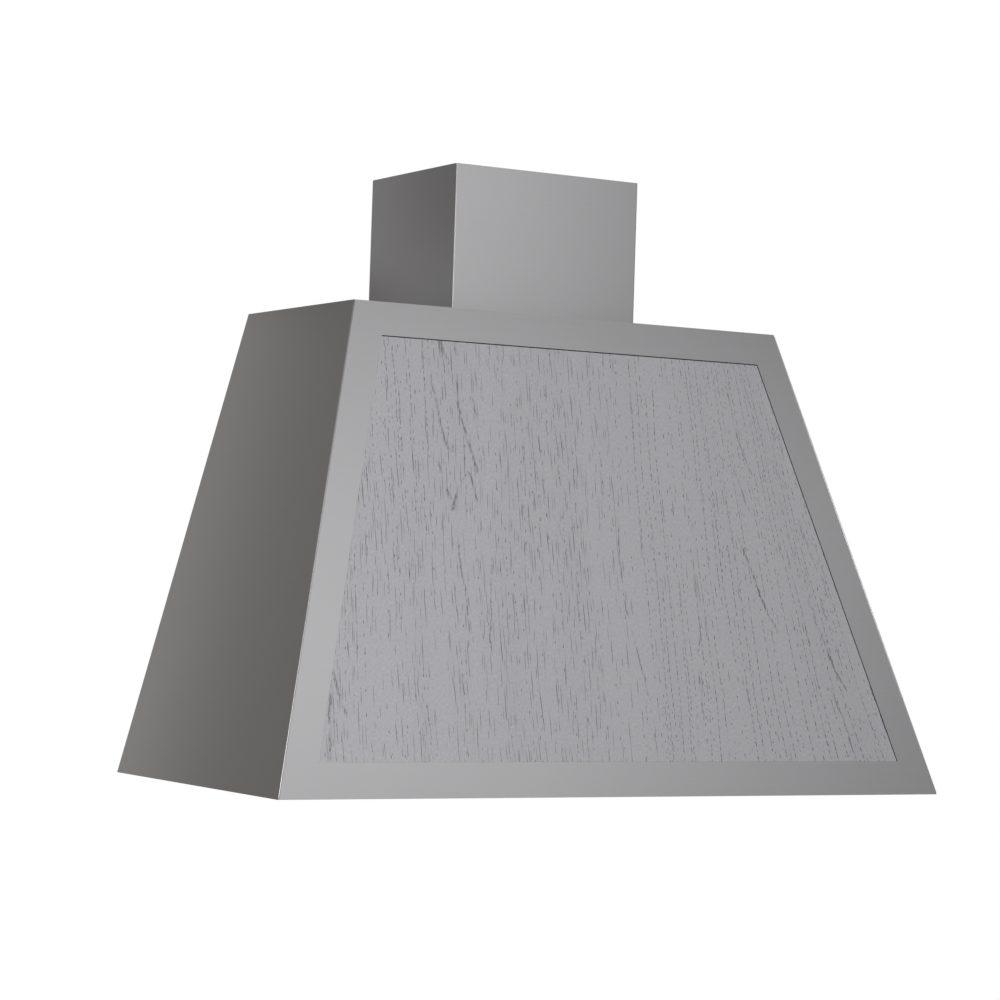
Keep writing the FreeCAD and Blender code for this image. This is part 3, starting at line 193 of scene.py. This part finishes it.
# Weld beads: the two slanting seams where the front frame meets the side panels, welded from outside
# and ground to a narrow bright round. They stop short of the rims.
ground_weld = brushed_steel("ground_weld", (0.42, 0.415, 0.42), (0.48, 0.475, 0.48), (0.27, 0.36), (40, 40, 900))
bead_radius = 0.0011
bead_sunk = 0.6 * bead_radius
bead_stop = 0.0025
foot = Vector((0.5335, -0.518, 0.0))
head = Vector((0.3515, -0.332, 0.668))
seam_run = head - foot
front_out = Vector((0, -seam_run.z, seam_run.y)).normalized()
side_out = Vector((seam_run.z, 0, -seam_run.x)).normalized()
middle = (foot + head) / 2 - (front_out + side_out) * bead_sunk
bpy.ops.object.select_all(action="DESELECT")
bpy.ops.mesh.primitive_cylinder_add(vertices=16, radius=bead_radius, depth=seam_run.length - 2 * bead_stop)
right_bead = bpy.context.active_object
rounding = right_bead.modifiers.new("ends", "BEVEL")
rounding.width = bead_radius * 0.8
rounding.segments = 3
rounding.angle_limit = math.radians(60)
bpy.ops.object.modifier_apply(modifier="ends")
bpy.ops.object.shade_smooth_by_angle(angle=math.radians(35))
coat(right_bead, ground_weld)
left_bead = bpy.data.objects.new("weld_bead_left", right_bead.data.copy())
bpy.context.scene.collection.objects.link(left_bead)
right_bead.name = "weld_bead_right"
for bead, hand in ((right_bead, 1), (left_bead, -1)):
    bead.location = (hand * middle.x, middle.y, middle.z)
    along_seam = Vector((hand * seam_run.x, seam_run.y, seam_run.z))
    bead.rotation_euler = along_seam.to_track_quat("Z", "Y").to_euler()
    pick(bead)
    bpy.ops.object.transform_apply(location=True, rotation=True, scale=True)
    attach(bead, frame["nodes"]["frame_left_stile"]["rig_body"])


# Wood panel: a 12 mm board of open-grained oak that lies in the front frame, held by screws from
# behind. It is painted a pale grey that leaves the pores of each growth ring open and dark: long ones
# on the left, chains of short ones on the right, and some darker lines where the rings turn.
oak_figure, given, result = effect("oak_figure", {"Place": "Vector"},
                                   {"Pores": "Float", "Relief": "Float", "Tone": "Float"})


def oak(operation, *values):
    """The result of a sum inside the oak's figure."""
    return calc(oak_figure, operation, *values)


def oak_noise(across_scale, along_scale, shift, detail):
    """Noise drawn out along the grain: so many swings to a metre across it and along it."""
    at = add(oak_figure, "ShaderNodeCombineXYZ", {"X": oak("MULTIPLY_ADD", grain, across_scale, shift),
                                                  "Y": oak("MULTIPLY", upward, along_scale)}).outputs[0]
    return add(oak_figure, "ShaderNodeTexNoise", {"Vector": at, "Scale": 1.0, "Detail": detail}).outputs[0]


def vessels(lanes, shift, half_width, rows, half_lengths, share):
    """Open vessels in lanes along the grain: thin pointed slits, of which a share is open."""
    lane = oak("MULTIPLY_ADD", grain, lanes, shift)
    number = oak("FLOOR", lane)
    ring_shift, ring_swings, row_shift = 3.7, 3.5, 61.7
    luck = add(oak_figure, "ShaderNodeTexWhiteNoise", {"W": number}, noise_dimensions="1D").outputs["Value"]
    ring = add(oak_figure, "ShaderNodeCombineXYZ", {"X": oak("MULTIPLY", number, ring_shift),
                                                    "Y": oak("MULTIPLY", upward, ring_swings)}).outputs[0]
    stretch = add(oak_figure, "ShaderNodeTexNoise", {"Vector": ring, "Scale": 1.0, "Detail": 1.0}).outputs[0]
    middle = ranged(oak_figure, luck, 0.0, 1.0, 0.18, 0.82)
    aside = oak("DIVIDE", oak("ABSOLUTE", oak("SUBTRACT", oak("FRACT", lane), middle)), half_width * lanes)
    at = oak("MULTIPLY_ADD", luck, row_shift, oak("MULTIPLY", upward, rows))
    vessel = add(oak_figure, "ShaderNodeTexVoronoi", {"W": at, "Scale": 1.0}, voronoi_dimensions="1D").outputs
    chance = add(oak_figure, "ShaderNodeSeparateColor", {0: vessel["Color"]}).outputs
    reach = ranged(oak_figure, chance["Green"], 0.0, 1.0, half_lengths[0] * rows, half_lengths[1] * rows)
    along = oak("POWER", oak("DIVIDE", vessel["Distance"], reach), 2.0)
    slit = ranged(oak_figure, oak("ADD", aside, along), 1.0, 0.4, 0.0, 1.0)
    open_share = oak("MULTIPLY", share, ranged(oak_figure, stretch, 0.43, 0.55, 0.12, 1.1))
    open_here = oak("LESS_THAN", chance["Red"], open_share)
    return oak("MULTIPLY", oak("MULTIPLY", slit, open_here), ranged(oak_figure, chance["Blue"], 0.0, 1.0, 0.45, 1.0))


def stroke(points, half_width, darkness):
    """One dark line of the figure through points on the board, from its top down."""
    top, bottom = points[0][1], points[-1][1]
    sides = [x for x, z in points]
    span = max(max(sides) - min(sides), 0.001)
    drop = ranged(oak_figure, upward, top, bottom, 0.0, 1.0)
    path = add(oak_figure, "ShaderNodeFloatCurve", {"Value": drop})
    curve = path.mapping.curves[0]
    curve.points[0].location = (0, (sides[0] - min(sides)) / span)
    curve.points[1].location = (1, (sides[-1] - min(sides)) / span)
    for x, z in points[1:-1]:
        curve.points.new((top - z) / (top - bottom), (x - min(sides)) / span)
    path.mapping.update()
    off = oak("SUBTRACT", across, oak("MULTIPLY_ADD", path.outputs[0], span, min(sides)))
    line = ranged(oak_figure, oak("ABSOLUTE", oak("ADD", off, fray)), half_width, half_width * 0.3, 0.0, darkness)
    faded = oak("MULTIPLY", ranged(oak_figure, drop, 0.0, 0.1, 0.0, 1.0),
                ranged(oak_figure, drop, 0.9, 1.0, 1.0, 0.0))
    return oak("MULTIPLY", line, faded)


axes = add(oak_figure, "ShaderNodeSeparateXYZ", {0: given["Place"]}).outputs
across = axes["X"]
upward = axes["Z"]
board_middle = 0.33
even_lean = 0.045
fan_start, fan_rate = 0.14, -0.9
sway = 0.03
lean = oak("MULTIPLY_ADD", oak("MAXIMUM", oak("SUBTRACT", across, fan_start), 0.0), fan_rate, even_lean)
grain = oak("SUBTRACT", across, oak("MULTIPLY", lean, oak("SUBTRACT", upward, board_middle)))
grain = oak("MULTIPLY_ADD", oak("SUBTRACT", oak_noise(6.0, 2.4, 0.0, 2.0), 0.5), sway, grain)

right_half = ranged(oak_figure, grain, 0.03, 0.08, 0.0, 1.0)
top_left = oak("MULTIPLY", ranged(oak_figure, grain, -0.24, -0.28, 0.0, 0.8),
               ranged(oak_figure, upward, 0.36, 0.5, 0.0, 1.0))
short_grained = oak("MAXIMUM", right_half, top_left)
strip_middle = 0.06
bare_strip = ranged(oak_figure, oak("ABSOLUTE", oak("SUBTRACT", grain, strip_middle)), 0.006, 0.012, 0.1, 1.0)
bands = oak_noise(16.0, 1.2, 0.0, 2.0)
thick_bands = oak("MULTIPLY", ranged(oak_figure, bands, 0.4, 0.56, 0.5, 1.4), bare_strip)
long_share = oak("MULTIPLY", thick_bands, ranged(oak_figure, short_grained, 0.0, 1.0, 0.95, 0.1))
short_share = oak("MULTIPLY", thick_bands, ranged(oak_figure, short_grained, 0.0, 1.0, 0.15, 1.0))
pores = oak("MAXIMUM", vessels(122.0, 0.0, 0.0005, 17.0, (0.012, 0.034), long_share),
            vessels(104.0, 50.0, 0.00062, 125.0, (0.0028, 0.006), short_share))
oak_figure.links.new(pores, result["Relief"])
fine_long_share = oak("MULTIPLY", long_share, 0.5)
pores = oak("MAXIMUM", pores, vessels(244.0, 0.5, 0.00042, 24.0, (0.008, 0.022), fine_long_share))
fine_short_share = oak("MULTIPLY", short_share, 0.15)
pores = oak("MAXIMUM", pores, vessels(208.0, 100.5, 0.0005, 140.0, (0.002, 0.004), fine_short_share))

fray_width = 0.007
fray = oak("MULTIPLY", oak("SUBTRACT", oak_noise(30.0, 60.0, 9.0, 3.0), 0.5), fray_width)
broken = oak("MULTIPLY", ranged(oak_figure, oak_noise(60.0, 30.0, 2.0, 1.0), 0.38, 0.54, 0.0, 0.82),
             ranged(oak_figure, oak_noise(560.0, 110.0, 2.0, 2.0), 0.4, 0.54, 0.0, 1.0))
figure_lines = (
    (((-0.228, 0.625), (-0.219, 0.602), (-0.213, 0.565)), 0.004, 0.75),
    (((-0.25, 0.6), (-0.24, 0.54), (-0.235, 0.494), (-0.222, 0.462)), 0.003, 0.85),
    (((-0.2, 0.575), (-0.204, 0.542), (-0.199, 0.5), (-0.19, 0.461), (-0.178, 0.41)), 0.003, 0.75),
    (((-0.182, 0.55), (-0.175, 0.5)), 0.0022, 0.7),
    (((-0.247, 0.452), (-0.239, 0.42), (-0.232, 0.384)), 0.003, 0.85),
    (((-0.208, 0.43), (-0.222, 0.407), (-0.231, 0.382)), 0.0028, 0.85),
    (((-0.2, 0.44), (-0.194, 0.42), (-0.19, 0.395)), 0.0024, 0.8),
    (((0.045, 0.43), (0.037, 0.381), (0.031, 0.301), (0.043, 0.191), (0.053, 0.127), (0.056, 0.045)),
     0.0016, 0.75),
    (((0.25, 0.59), (0.255, 0.565), (0.262, 0.506), (0.283, 0.449)), 0.0022, 0.6),
    (((0.236, 0.47), (0.25, 0.452), (0.261, 0.405)), 0.0024, 0.6),
    (((0.236, 0.37), (0.253, 0.322), (0.268, 0.27), (0.291, 0.226)), 0.0026, 0.95),
    (((0.35, 0.395), (0.366, 0.34), (0.386, 0.296)), 0.003, 0.65),
    (((0.348, 0.28), (0.378, 0.182), (0.4, 0.14)), 0.0026, 0.9),
    (((0.364, 0.16), (0.382, 0.106), (0.396, 0.046)), 0.0022, 0.7),
    (((-0.176, 0.325), (-0.191, 0.223), (-0.197, 0.165)), 0.0018, 0.8),
    (((-0.226, 0.35), (-0.227, 0.303), (-0.223, 0.267), (-0.237, 0.185)), 0.0018, 0.7),
    (((-0.439, 0.17), (-0.432, 0.136), (-0.423, 0.104)), 0.0034, 0.75),
    (((-0.442, 0.155), (-0.45, 0.088), (-0.452, 0.046)), 0.0028, 0.85),
    (((0.155, 0.34), (0.152, 0.23), (0.142, 0.183), (0.14, 0.095)), 0.0018, 0.7))
for points, half_width, darkness in figure_lines:
    pores = oak("MAXIMUM", pores, oak("MULTIPLY", stroke(points, half_width, darkness), broken))
oak_figure.links.new(pores, result["Pores"])
speckle = oak_noise(430.0, 240.0, 0.0, 3.0)
oak_figure.links.new(oak("MULTIPLY_ADD", speckle, 0.8, oak("MULTIPLY", bands, 0.2)), result["Tone"])

pale_paint = (0.445, 0.44, 0.46)
deep_paint = (0.355, 0.35, 0.37)
pore_colour = (0.04, 0.038, 0.04)
pore_depth = 0.0001
painted_oak, tree, shader = finish("painted_oak", specular_ior_level=0.35)
board_place = add(tree, "ShaderNodeTexCoord").outputs["Object"]
oak_looks = add(tree, "ShaderNodeGroup", {"Place": board_place}, node_tree=oak_figure).outputs
paint = blended(tree, ranged(tree, oak_looks["Tone"], 0.3, 0.7, 0.0, 1.0), pale_paint, deep_paint)
tree.links.new(blended(tree, oak_looks["Pores"], paint, pore_colour), shader["Base Color"])
tree.links.new(ranged(tree, oak_looks["Tone"], 0.3, 0.7, 0.5, 0.6), shader["Roughness"])
bumped(tree, shader, calc(tree, "SUBTRACT", 1.0, oak_looks["Relief"]), pore_depth)
dressed("wood_panel", painted_oak, bend=20)


# Base rails: four mitred angles of stainless sheet round the lower rim, spot-welded inside the skin.
# They stiffen the rim and carry the liner.
rail_tones = ((0.36, 0.358, 0.355), (0.4, 0.398, 0.395))
rail_steel = brushed_steel("rail_steel", *rail_tones, (0.36, 0.46), marks_across)
end_rail_steel = brushed_steel("end_rail_steel", *rail_tones, (0.36, 0.46), marks_front_to_back)
for rail in ("base_rail_front", "base_rail_rear"):
    coat(frame["nodes"][rail], rail_steel)
for rail in ("base_rail_left", "base_rail_right"):
    coat(frame["nodes"][rail], end_rail_steel)


# Back, top, hanger plates, chimney fixings, duct collar and junction box: galvanised sheet that
# nobody sees once the hood is up. The zinc has frozen in large flat crystals. The top panel takes a darker copy of it
# as painted shade, which the chimney's foot reflects.
spangle, given, result = effect("spangle", {"Place": "Vector"}, {"Crystal": "Float", "Stain": "Float"})
crystals = add(spangle, "ShaderNodeTexVoronoi", {"Vector": given["Place"], "Scale": 85.0})
stains = add(spangle, "ShaderNodeTexNoise", {"Vector": given["Place"], "Scale": 9.0, "Detail": 5.0})
feathers = add(spangle, "ShaderNodeTexNoise", {"Vector": given["Place"], "Scale": 420.0, "Detail": 2.0})
shade = add(spangle, "ShaderNodeSeparateColor", {0: crystals.outputs["Color"]}).outputs["Red"]
spangle.links.new(calc(spangle, "ADD", calc(spangle, "MULTIPLY", shade, 0.7),
                       calc(spangle, "MULTIPLY", feathers.outputs[0], 0.3)), result["Crystal"])
spangle.links.new(stains.outputs[0], result["Stain"])


def zinc_sheet(name, dark, pale, rough):
    """Galvanised sheet between two tones."""
    material, tree, shader = finish(name, metallic=1.0)
    place = add(tree, "ShaderNodeTexCoord").outputs["Object"]
    zinc = add(tree, "ShaderNodeGroup", node_tree=spangle)
    tree.links.new(place, zinc.inputs["Place"])
    crystal_share = 0.75
    crystal_depth = 0.00003
    toned = calc(tree, "ADD", calc(tree, "MULTIPLY", zinc.outputs["Crystal"], crystal_share),
                 calc(tree, "MULTIPLY", zinc.outputs["Stain"], 1 - crystal_share))
    tree.links.new(blended(tree, toned, dark, pale), shader["Base Color"])
    tree.links.new(ranged(tree, zinc.outputs["Crystal"], 0.0, 1.0, *rough), shader["Roughness"])
    bumped(tree, shader, zinc.outputs["Crystal"], crystal_depth)
    return material


galvanised = zinc_sheet("galvanised", (0.4, 0.41, 0.42), (0.56, 0.57, 0.58), (0.34, 0.52))
for zinc_piece in ("rear_panel", "hanger_plates", "chimney_angles", "chimney_bracket", "junction_box",
                   "junction_box_cover"):
    coat(frame["nodes"][zinc_piece], galvanised)
# Painted shade: the top panel's zinc is a darker copy of the galvanised sheet, as if the top lay in shadow.
painted_shade_zinc = zinc_sheet("painted_shade_zinc", (0.16, 0.165, 0.17), (0.26, 0.265, 0.27), (0.48, 0.62))
coat(frame["nodes"]["top_panel"], painted_shade_zinc)
dressed("duct_collar", galvanised, bend=40)


# Chimney cover: one folded box of the same satin sheet as the canopy, open at the back and hooked
# over a bracket on the wall. Its brush marks run level round the folds.
marks_round = (6, 6, 1400)
chimney_steel = brushed_steel("chimney_steel", (0.345, 0.34, 0.345), (0.375, 0.37, 0.377), (0.38, 0.46), marks_round)
dressed("chimney_cover", chimney_steel, bend=40)


# Backdraught damper: two half-round aluminium flaps on steel pins across the collar. Each is pressed
# from sheet with a curled edge for its pin, and falls shut by its own weight.
mill_aluminium = brushed_steel("mill_aluminium", (0.6, 0.6, 0.61), (0.72, 0.72, 0.73), (0.28, 0.42), (30, 500, 500))
zinc_plate, tree, shader = finish("zinc_plate", metallic=1.0)
plate_place = add(tree, "ShaderNodeTexCoord").outputs["Object"]
bloom = add(tree, "ShaderNodeTexNoise", {"Vector": plate_place, "Scale": 300.0, "Detail": 3.0}).outputs[0]
tree.links.new(blended(tree, bloom, (0.5, 0.51, 0.53), (0.68, 0.68, 0.66)), shader["Base Color"])
tree.links.new(ranged(tree, bloom, 0.3, 0.7, 0.22, 0.4), shader["Roughness"])
for flap in ("damper_flap_front", "damper_flap_rear"):
    dressed(flap, mill_aluminium)
dressed("damper_pins", zinc_plate)


# Liner: the light panel in front, two side fillers and the grease gutter behind, folded from thinner
# stainless sheet. The gutter drains into a small cup that is held by two spring clips.
liner_tones = ((0.42, 0.42, 0.42), (0.48, 0.48, 0.478))
liner_steel = brushed_steel("liner_steel", *liner_tones, (0.3, 0.42), (6, 1200, 1200))
filler_steel = brushed_steel("filler_steel", *liner_tones, (0.3, 0.42), (1200, 6, 1200))
for liner_piece in ("light_panel", "grease_gutter", "grease_cup"):
    coat(frame["nodes"][liner_piece], liner_steel)
for filler in ("liner_left", "liner_right"):
    coat(frame["nodes"][filler], filler_steel)
blued_spring = brushed_steel("blued_spring", (0.2, 0.21, 0.24), (0.3, 0.3, 0.32), (0.25, 0.4), (900, 900, 20))
dressed("cup_clips", blued_spring)


# Baffle filters: three frames of bright stainless, each with interleaved baffle channels that throw
# the grease out of the air, and a bent rod to pull them down by. They hang in plastic saddles and are
# held up by magnets.
filter_steel = brushed_steel("filter_steel", (0.5, 0.5, 0.5), (0.58, 0.58, 0.575), (0.22, 0.34), (800, 8, 800))
polished_rod, tree, shader = finish("polished_rod", metallic=1.0)
rod_place = add(tree, "ShaderNodeTexCoord").outputs["Object"]
smear = add(tree, "ShaderNodeTexNoise", {"Vector": rod_place, "Scale": 70.0, "Detail": 4.0}).outputs[0]
tree.links.new(blended(tree, smear, (0.62, 0.62, 0.625), (0.72, 0.72, 0.715)), shader["Base Color"])
tree.links.new(ranged(tree, smear, 0.35, 0.7, 0.08, 0.22), shader["Roughness"])


def moulded(name, dark, pale, rough, depth, metallic=0.0):
    """Moulded plastic or cast metal with a fine even texture."""
    material, tree, shader = finish(name, metallic=metallic)
    place = add(tree, "ShaderNodeTexCoord").outputs["Object"]
    stipple = add(tree, "ShaderNodeTexNoise", {"Vector": place, "Scale": 900.0, "Detail": 2.0}).outputs[0]
    patch = add(tree, "ShaderNodeTexNoise", {"Vector": place, "Scale": 30.0, "Detail": 3.0}).outputs[0]
    tree.links.new(blended(tree, patch, dark, pale), shader["Base Color"])
    tree.links.new(ranged(tree, stipple, 0.3, 0.7, *rough), shader["Roughness"])
    bumped(tree, shader, stipple, depth)
    return material


black_nylon = moulded("black_nylon", (0.02, 0.02, 0.021), (0.035, 0.035, 0.037), (0.42, 0.6), 0.00004)
ferrite = moulded("ferrite", (0.05, 0.05, 0.052), (0.085, 0.083, 0.082), (0.5, 0.7), 0.00008)
for bay in ("left", "centre", "right"):
    for part in ("frame", "baffles"):
        coat(frame["nodes"][f"filter_{bay}_{part}"], filter_steel)
    dressed(f"filter_{bay}_handle", polished_rod)
coat(frame["nodes"]["filter_saddles"], black_nylon)
coat(frame["nodes"]["filter_catches"], ferrite)


# Lamps: two round down-lights in the light panel. A finned aluminium body holds the light source above
# a frosted glass, and a polished ring screws up from below.
cast_aluminium = moulded("cast_aluminium", (0.48, 0.48, 0.49), (0.58, 0.58, 0.59), (0.4, 0.55), 0.00006, metallic=1.0)
frosted_glass, tree, shader = finish("frosted_glass", transmission_weight=0.55, ior=1.48)
glass_place = add(tree, "ShaderNodeTexCoord").outputs["Object"]
etch = add(tree, "ShaderNodeTexNoise", {"Vector": glass_place, "Scale": 1500.0, "Detail": 2.0}).outputs[0]
tree.links.new(blended(tree, etch, (0.86, 0.86, 0.84), (0.93, 0.93, 0.92)), shader["Base Color"])
tree.links.new(ranged(tree, etch, 0.3, 0.7, 0.42, 0.6), shader["Roughness"])
dressed("lamp_bezels", polished_rod, bend=40)
dressed("lamp_lenses", frosted_glass, bend=40)
dressed("lamp_bodies", cast_aluminium, bend=40)


# Controls: five push buttons through a stainless plate in the light panel, with a moulded box and a
# circuit board behind it. Each button has a plain mark printed on its face, to be read from below.
coat(frame["nodes"]["control_plate"], liner_steel)
coat(frame["nodes"]["control_box"], black_nylon)
circuit_board, tree, shader = finish("circuit_board", roughness=0.4)
board_face = add(tree, "ShaderNodeTexCoord").outputs["Object"]
tracks = add(tree, "ShaderNodeTexBrick", {"Vector": board_face, "Scale": 140.0, "Mortar Size": 0.08,
                                          "Color1": (0.02, 0.13, 0.06, 1), "Color2": (0.025, 0.17, 0.07, 1),
                                          "Mortar": (0.07, 0.3, 0.13, 1)})
tree.links.new(tracks.outputs["Color"], shader["Base Color"])
coat(frame["nodes"]["control_board"], circuit_board)
button_steel = brushed_steel("button_steel", (0.55, 0.55, 0.55), (0.63, 0.63, 0.625), (0.18, 0.28), (1600, 30, 30))
for use in ("light", "stop", "low", "medium", "high"):
    dressed(f"button_{use}", button_steel, bend=30)

ink = moulded("ink", (0.016, 0.016, 0.018), (0.026, 0.026, 0.028), (0.4, 0.55), 0.00001)
ink_film = 0.00006


def printed(mark, use):
    """Lays a mark, made flat at the origin, face down on the middle of a button's face."""
    low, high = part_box(f"button_{use}")
    mark.name = f"mark_{use}"
    pick(mark)
    mark.rotation_euler = (math.pi, 0, 0)
    mark.location = ((low.x + high.x) / 2, (low.y + high.y) / 2, low.z - ink_film / 2)
    bpy.ops.object.transform_apply(location=True, rotation=True, scale=True)
    bpy.ops.object.mode_set(mode="EDIT")
    bpy.ops.mesh.select_all(action="SELECT")
    bpy.ops.mesh.remove_doubles(threshold=ink_film / 30)
    bpy.ops.mesh.normals_make_consistent(inside=False)
    bpy.ops.object.mode_set(mode="OBJECT")
    coat(mark, ink)
    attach(mark, frame["nodes"][f"button_{use}"]["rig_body"])


sun_radius = 0.0014
ray_count = 8
ray_place = 0.0026
ray_size = (0.0011, 0.0005, ink_film)
bpy.ops.object.select_all(action="DESELECT")
bpy.ops.mesh.primitive_circle_add(vertices=32, radius=sun_radius, fill_type="NGON", location=(0, 0, -ink_film / 2))
sun = bpy.context.active_object
bpy.ops.object.mode_set(mode="EDIT")
bpy.ops.mesh.select_all(action="SELECT")
bpy.ops.mesh.extrude_region_move(TRANSFORM_OT_translate={"value": (0, 0, ink_film)})
for ray in range(ray_count):
    angle = math.radians(360 / ray_count * ray)
    bpy.ops.mesh.primitive_cube_add(size=1, rotation=(0, 0, angle), scale=ray_size,
                                    location=(ray_place * math.cos(angle), ray_place * math.sin(angle), 0))
bpy.ops.object.mode_set(mode="OBJECT")
printed(sun, "light")
digit_size = 0.0085
for use, digit in (("stop", "0"), ("low", "1"), ("medium", "2"), ("high", "3")):
    bpy.ops.object.select_all(action="DESELECT")
    bpy.ops.object.text_add(location=(0, 0, 0))
    number = bpy.context.active_object
    number.data.body = digit
    number.data.size = digit_size
    number.data.align_x = "CENTER"
    number.data.align_y = "CENTER"
    number.data.extrude = ink_film / 2
    bpy.ops.object.convert(target="MESH")
    printed(bpy.context.active_object, use)


# Blower: a galvanised scroll with two inlets, a wheel of forward-curved blades on the motor's shaft,
# and the motor in a three-armed bracket on the left inlet.
blower_zinc = zinc_sheet("blower_zinc", (0.38, 0.39, 0.4), (0.54, 0.55, 0.56), (0.36, 0.54))
for blower_piece in ("scroll_left_side", "scroll_right_side", "scroll_wrap", "blower_wheel", "motor_bracket"):
    dressed(blower_piece, blower_zinc)
black_enamel = moulded("black_enamel", (0.03, 0.03, 0.033), (0.05, 0.05, 0.053), (0.3, 0.42), 0.00003)
dressed("motor", black_enamel)
ground_bar = brushed_steel("ground_bar", (0.5, 0.5, 0.5), (0.6, 0.6, 0.6), (0.18, 0.3), (900, 40, 40))
dressed("blower_shaft", ground_bar)


# Screws: zinc-plated, with low round heads. They hold the wood panel from behind, and the collar,
# blower and chimney angles to the top panel.
for screws in ("panel_screws", "sheet_screws"):
    dressed(screws, zinc_plate, bend=30)


# Studio: a pale floor well below the hood, which hangs as it does over a cooker, in a grey room that is
# white behind the hood. Soft lamps stand at the front, weak ones behind the left side and beside the
# chimney, and one lies under the hood and lights only its underside.
floor_size = 5
floor_level = -1.0
bpy.ops.object.select_all(action="DESELECT")
bpy.ops.mesh.primitive_plane_add(size=floor_size, location=(0, 0, floor_level))
floor = bpy.context.active_object
floor.name = "floor"
floor_paint, tree, shader = finish("floor_paint", roughness=0.9)
floor_place = add(tree, "ShaderNodeTexCoord").outputs["Object"]
mottle = add(tree, "ShaderNodeTexNoise", {"Vector": floor_place, "Scale": 2.0, "Detail": 2.0}).outputs[0]
tree.links.new(blended(tree, mottle, (0.62, 0.62, 0.62), (0.66, 0.66, 0.66)), shader["Base Color"])
from_below = add(tree, "ShaderNodeNewGeometry").outputs["Backfacing"]
clear = add(tree, "ShaderNodeBsdfTransparent")
chosen = add(tree, "ShaderNodeMixShader", {0: from_below, 1: tree.nodes["Principled BSDF"].outputs[0],
                                           2: clear.outputs[0]})
tree.links.new(chosen.outputs[0], tree.nodes["Material Output"].inputs["Surface"])
coat(floor, floor_paint)


def soft_lamp(name, place, target, size, power, lean=(0, 0, 1), spread=180):
    """A soft lamp of a width and height that faces a point; lean is the way that its height runs."""
    light = bpy.data.lights.new(name, "AREA")
    light.shape = "RECTANGLE"
    light.size, light.size_y = size
    light.energy = power
    light.spread = math.radians(spread)
    lamp = bpy.data.objects.new(name, light)
    bpy.context.scene.collection.objects.link(lamp)
    behind = (Vector(place) - Vector(target)).normalized()
    aside = Vector(lean).cross(behind).normalized()
    turn = Matrix((aside, behind.cross(aside), behind)).transposed().to_4x4()
    lamp.matrix_world = Matrix.Translation(place) @ turn
    lamp.visible_camera = False


soft_lamp("key_lamp", (-1.5, -1.9, 0.45), (0, -0.3, 0.3), (1.2, 1.2), 21.6)
soft_lamp("high_lamp", (0.3, -1.95, 1.25), (-0.2, -0.4, 0.35), (1.4, 1.4), 4.6)
soft_lamp("right_lamp", (0.9, -1.95, 0.95), (0.1, -0.45, 0.2), (1.4, 1.0), 2.4)
soft_lamp("centre_lamp", (-0.4, -2.0, 0.9), (0, -0.45, 0.3), (1.2, 1.2), 2.3)
soft_lamp("rear_lamp", (-0.585, 0.3, 0.39), (-0.435, -0.04, 0.37), (0.15, 0.86), 0.03,
          lean=(0.263, 0, 0.965), spread=64)
soft_lamp("chimney_lamp", (-0.265, 0.16, 0.88), (-0.154, -0.06, 0.86), (0.1, 0.25), 0.022)
soft_lamp("under_lamp", (0, -0.26, -0.7), (0, -0.26, 0), (1.3, 0.8), 2.2, lean=(0, 1, 0))

white_heading = (0.505, 0.862, 0.03)
front_walls = (0.4, 0.4, 0.406)
back_walls = (0.278, 0.271, 0.264)
fill = (0.32, 0.32, 0.32)
scene = bpy.context.scene
scene.world = bpy.data.worlds.new("studio")
scene.world.use_nodes = True
tree = scene.world.node_tree
ray_kind = add(tree, "ShaderNodeLightPath").outputs
heading = add(tree, "ShaderNodeTexCoord").outputs["Generated"]
facing = add(tree, "ShaderNodeVectorMath", {0: heading, 1: white_heading}, operation="DOT_PRODUCT").outputs["Value"]
backward = add(tree, "ShaderNodeSeparateXYZ", {0: heading}).outputs["Y"]
walls = blended(tree, ranged(tree, backward, -0.6, 0.6, 0.0, 1.0), front_walls, back_walls)
room = blended(tree, ranged(tree, facing, 0.88, 0.955, 0.0, 1.0), walls, (1, 1, 1))
seen = calc(tree, "MAXIMUM", calc(tree, "MAXIMUM", ray_kind["Is Camera Ray"], ray_kind["Is Glossy Ray"]),
            ray_kind["Is Transmission Ray"])
tree.links.new(blended(tree, seen, fill, room), tree.nodes["Background"].inputs["Color"])

scene.view_settings.view_transform = "Standard"
camera_place = (-2.2699, -4.0189, 0.281)
yaw = math.radians(30.36)
pitch = math.radians(1.64)
roll = math.radians(1.84)
lens = bpy.data.cameras.new("camera")
lens.lens = 109.516
lens.sensor_width = 36
camera = bpy.data.objects.new("camera", lens)
scene.collection.objects.link(camera)
ahead = Vector((math.sin(yaw) * math.cos(pitch), math.cos(yaw) * math.cos(pitch), math.sin(pitch)))
level = Vector((math.cos(yaw), -math.sin(yaw), 0))
above = level.cross(ahead)
right = level * math.cos(roll) + above * math.sin(roll)
up = above * math.cos(roll) - level * math.sin(roll)
camera_turn = Matrix((right, up, -ahead)).transposed().to_4x4()
camera.matrix_world = Matrix.Translation(camera_place) @ camera_turn
scene.camera = camera
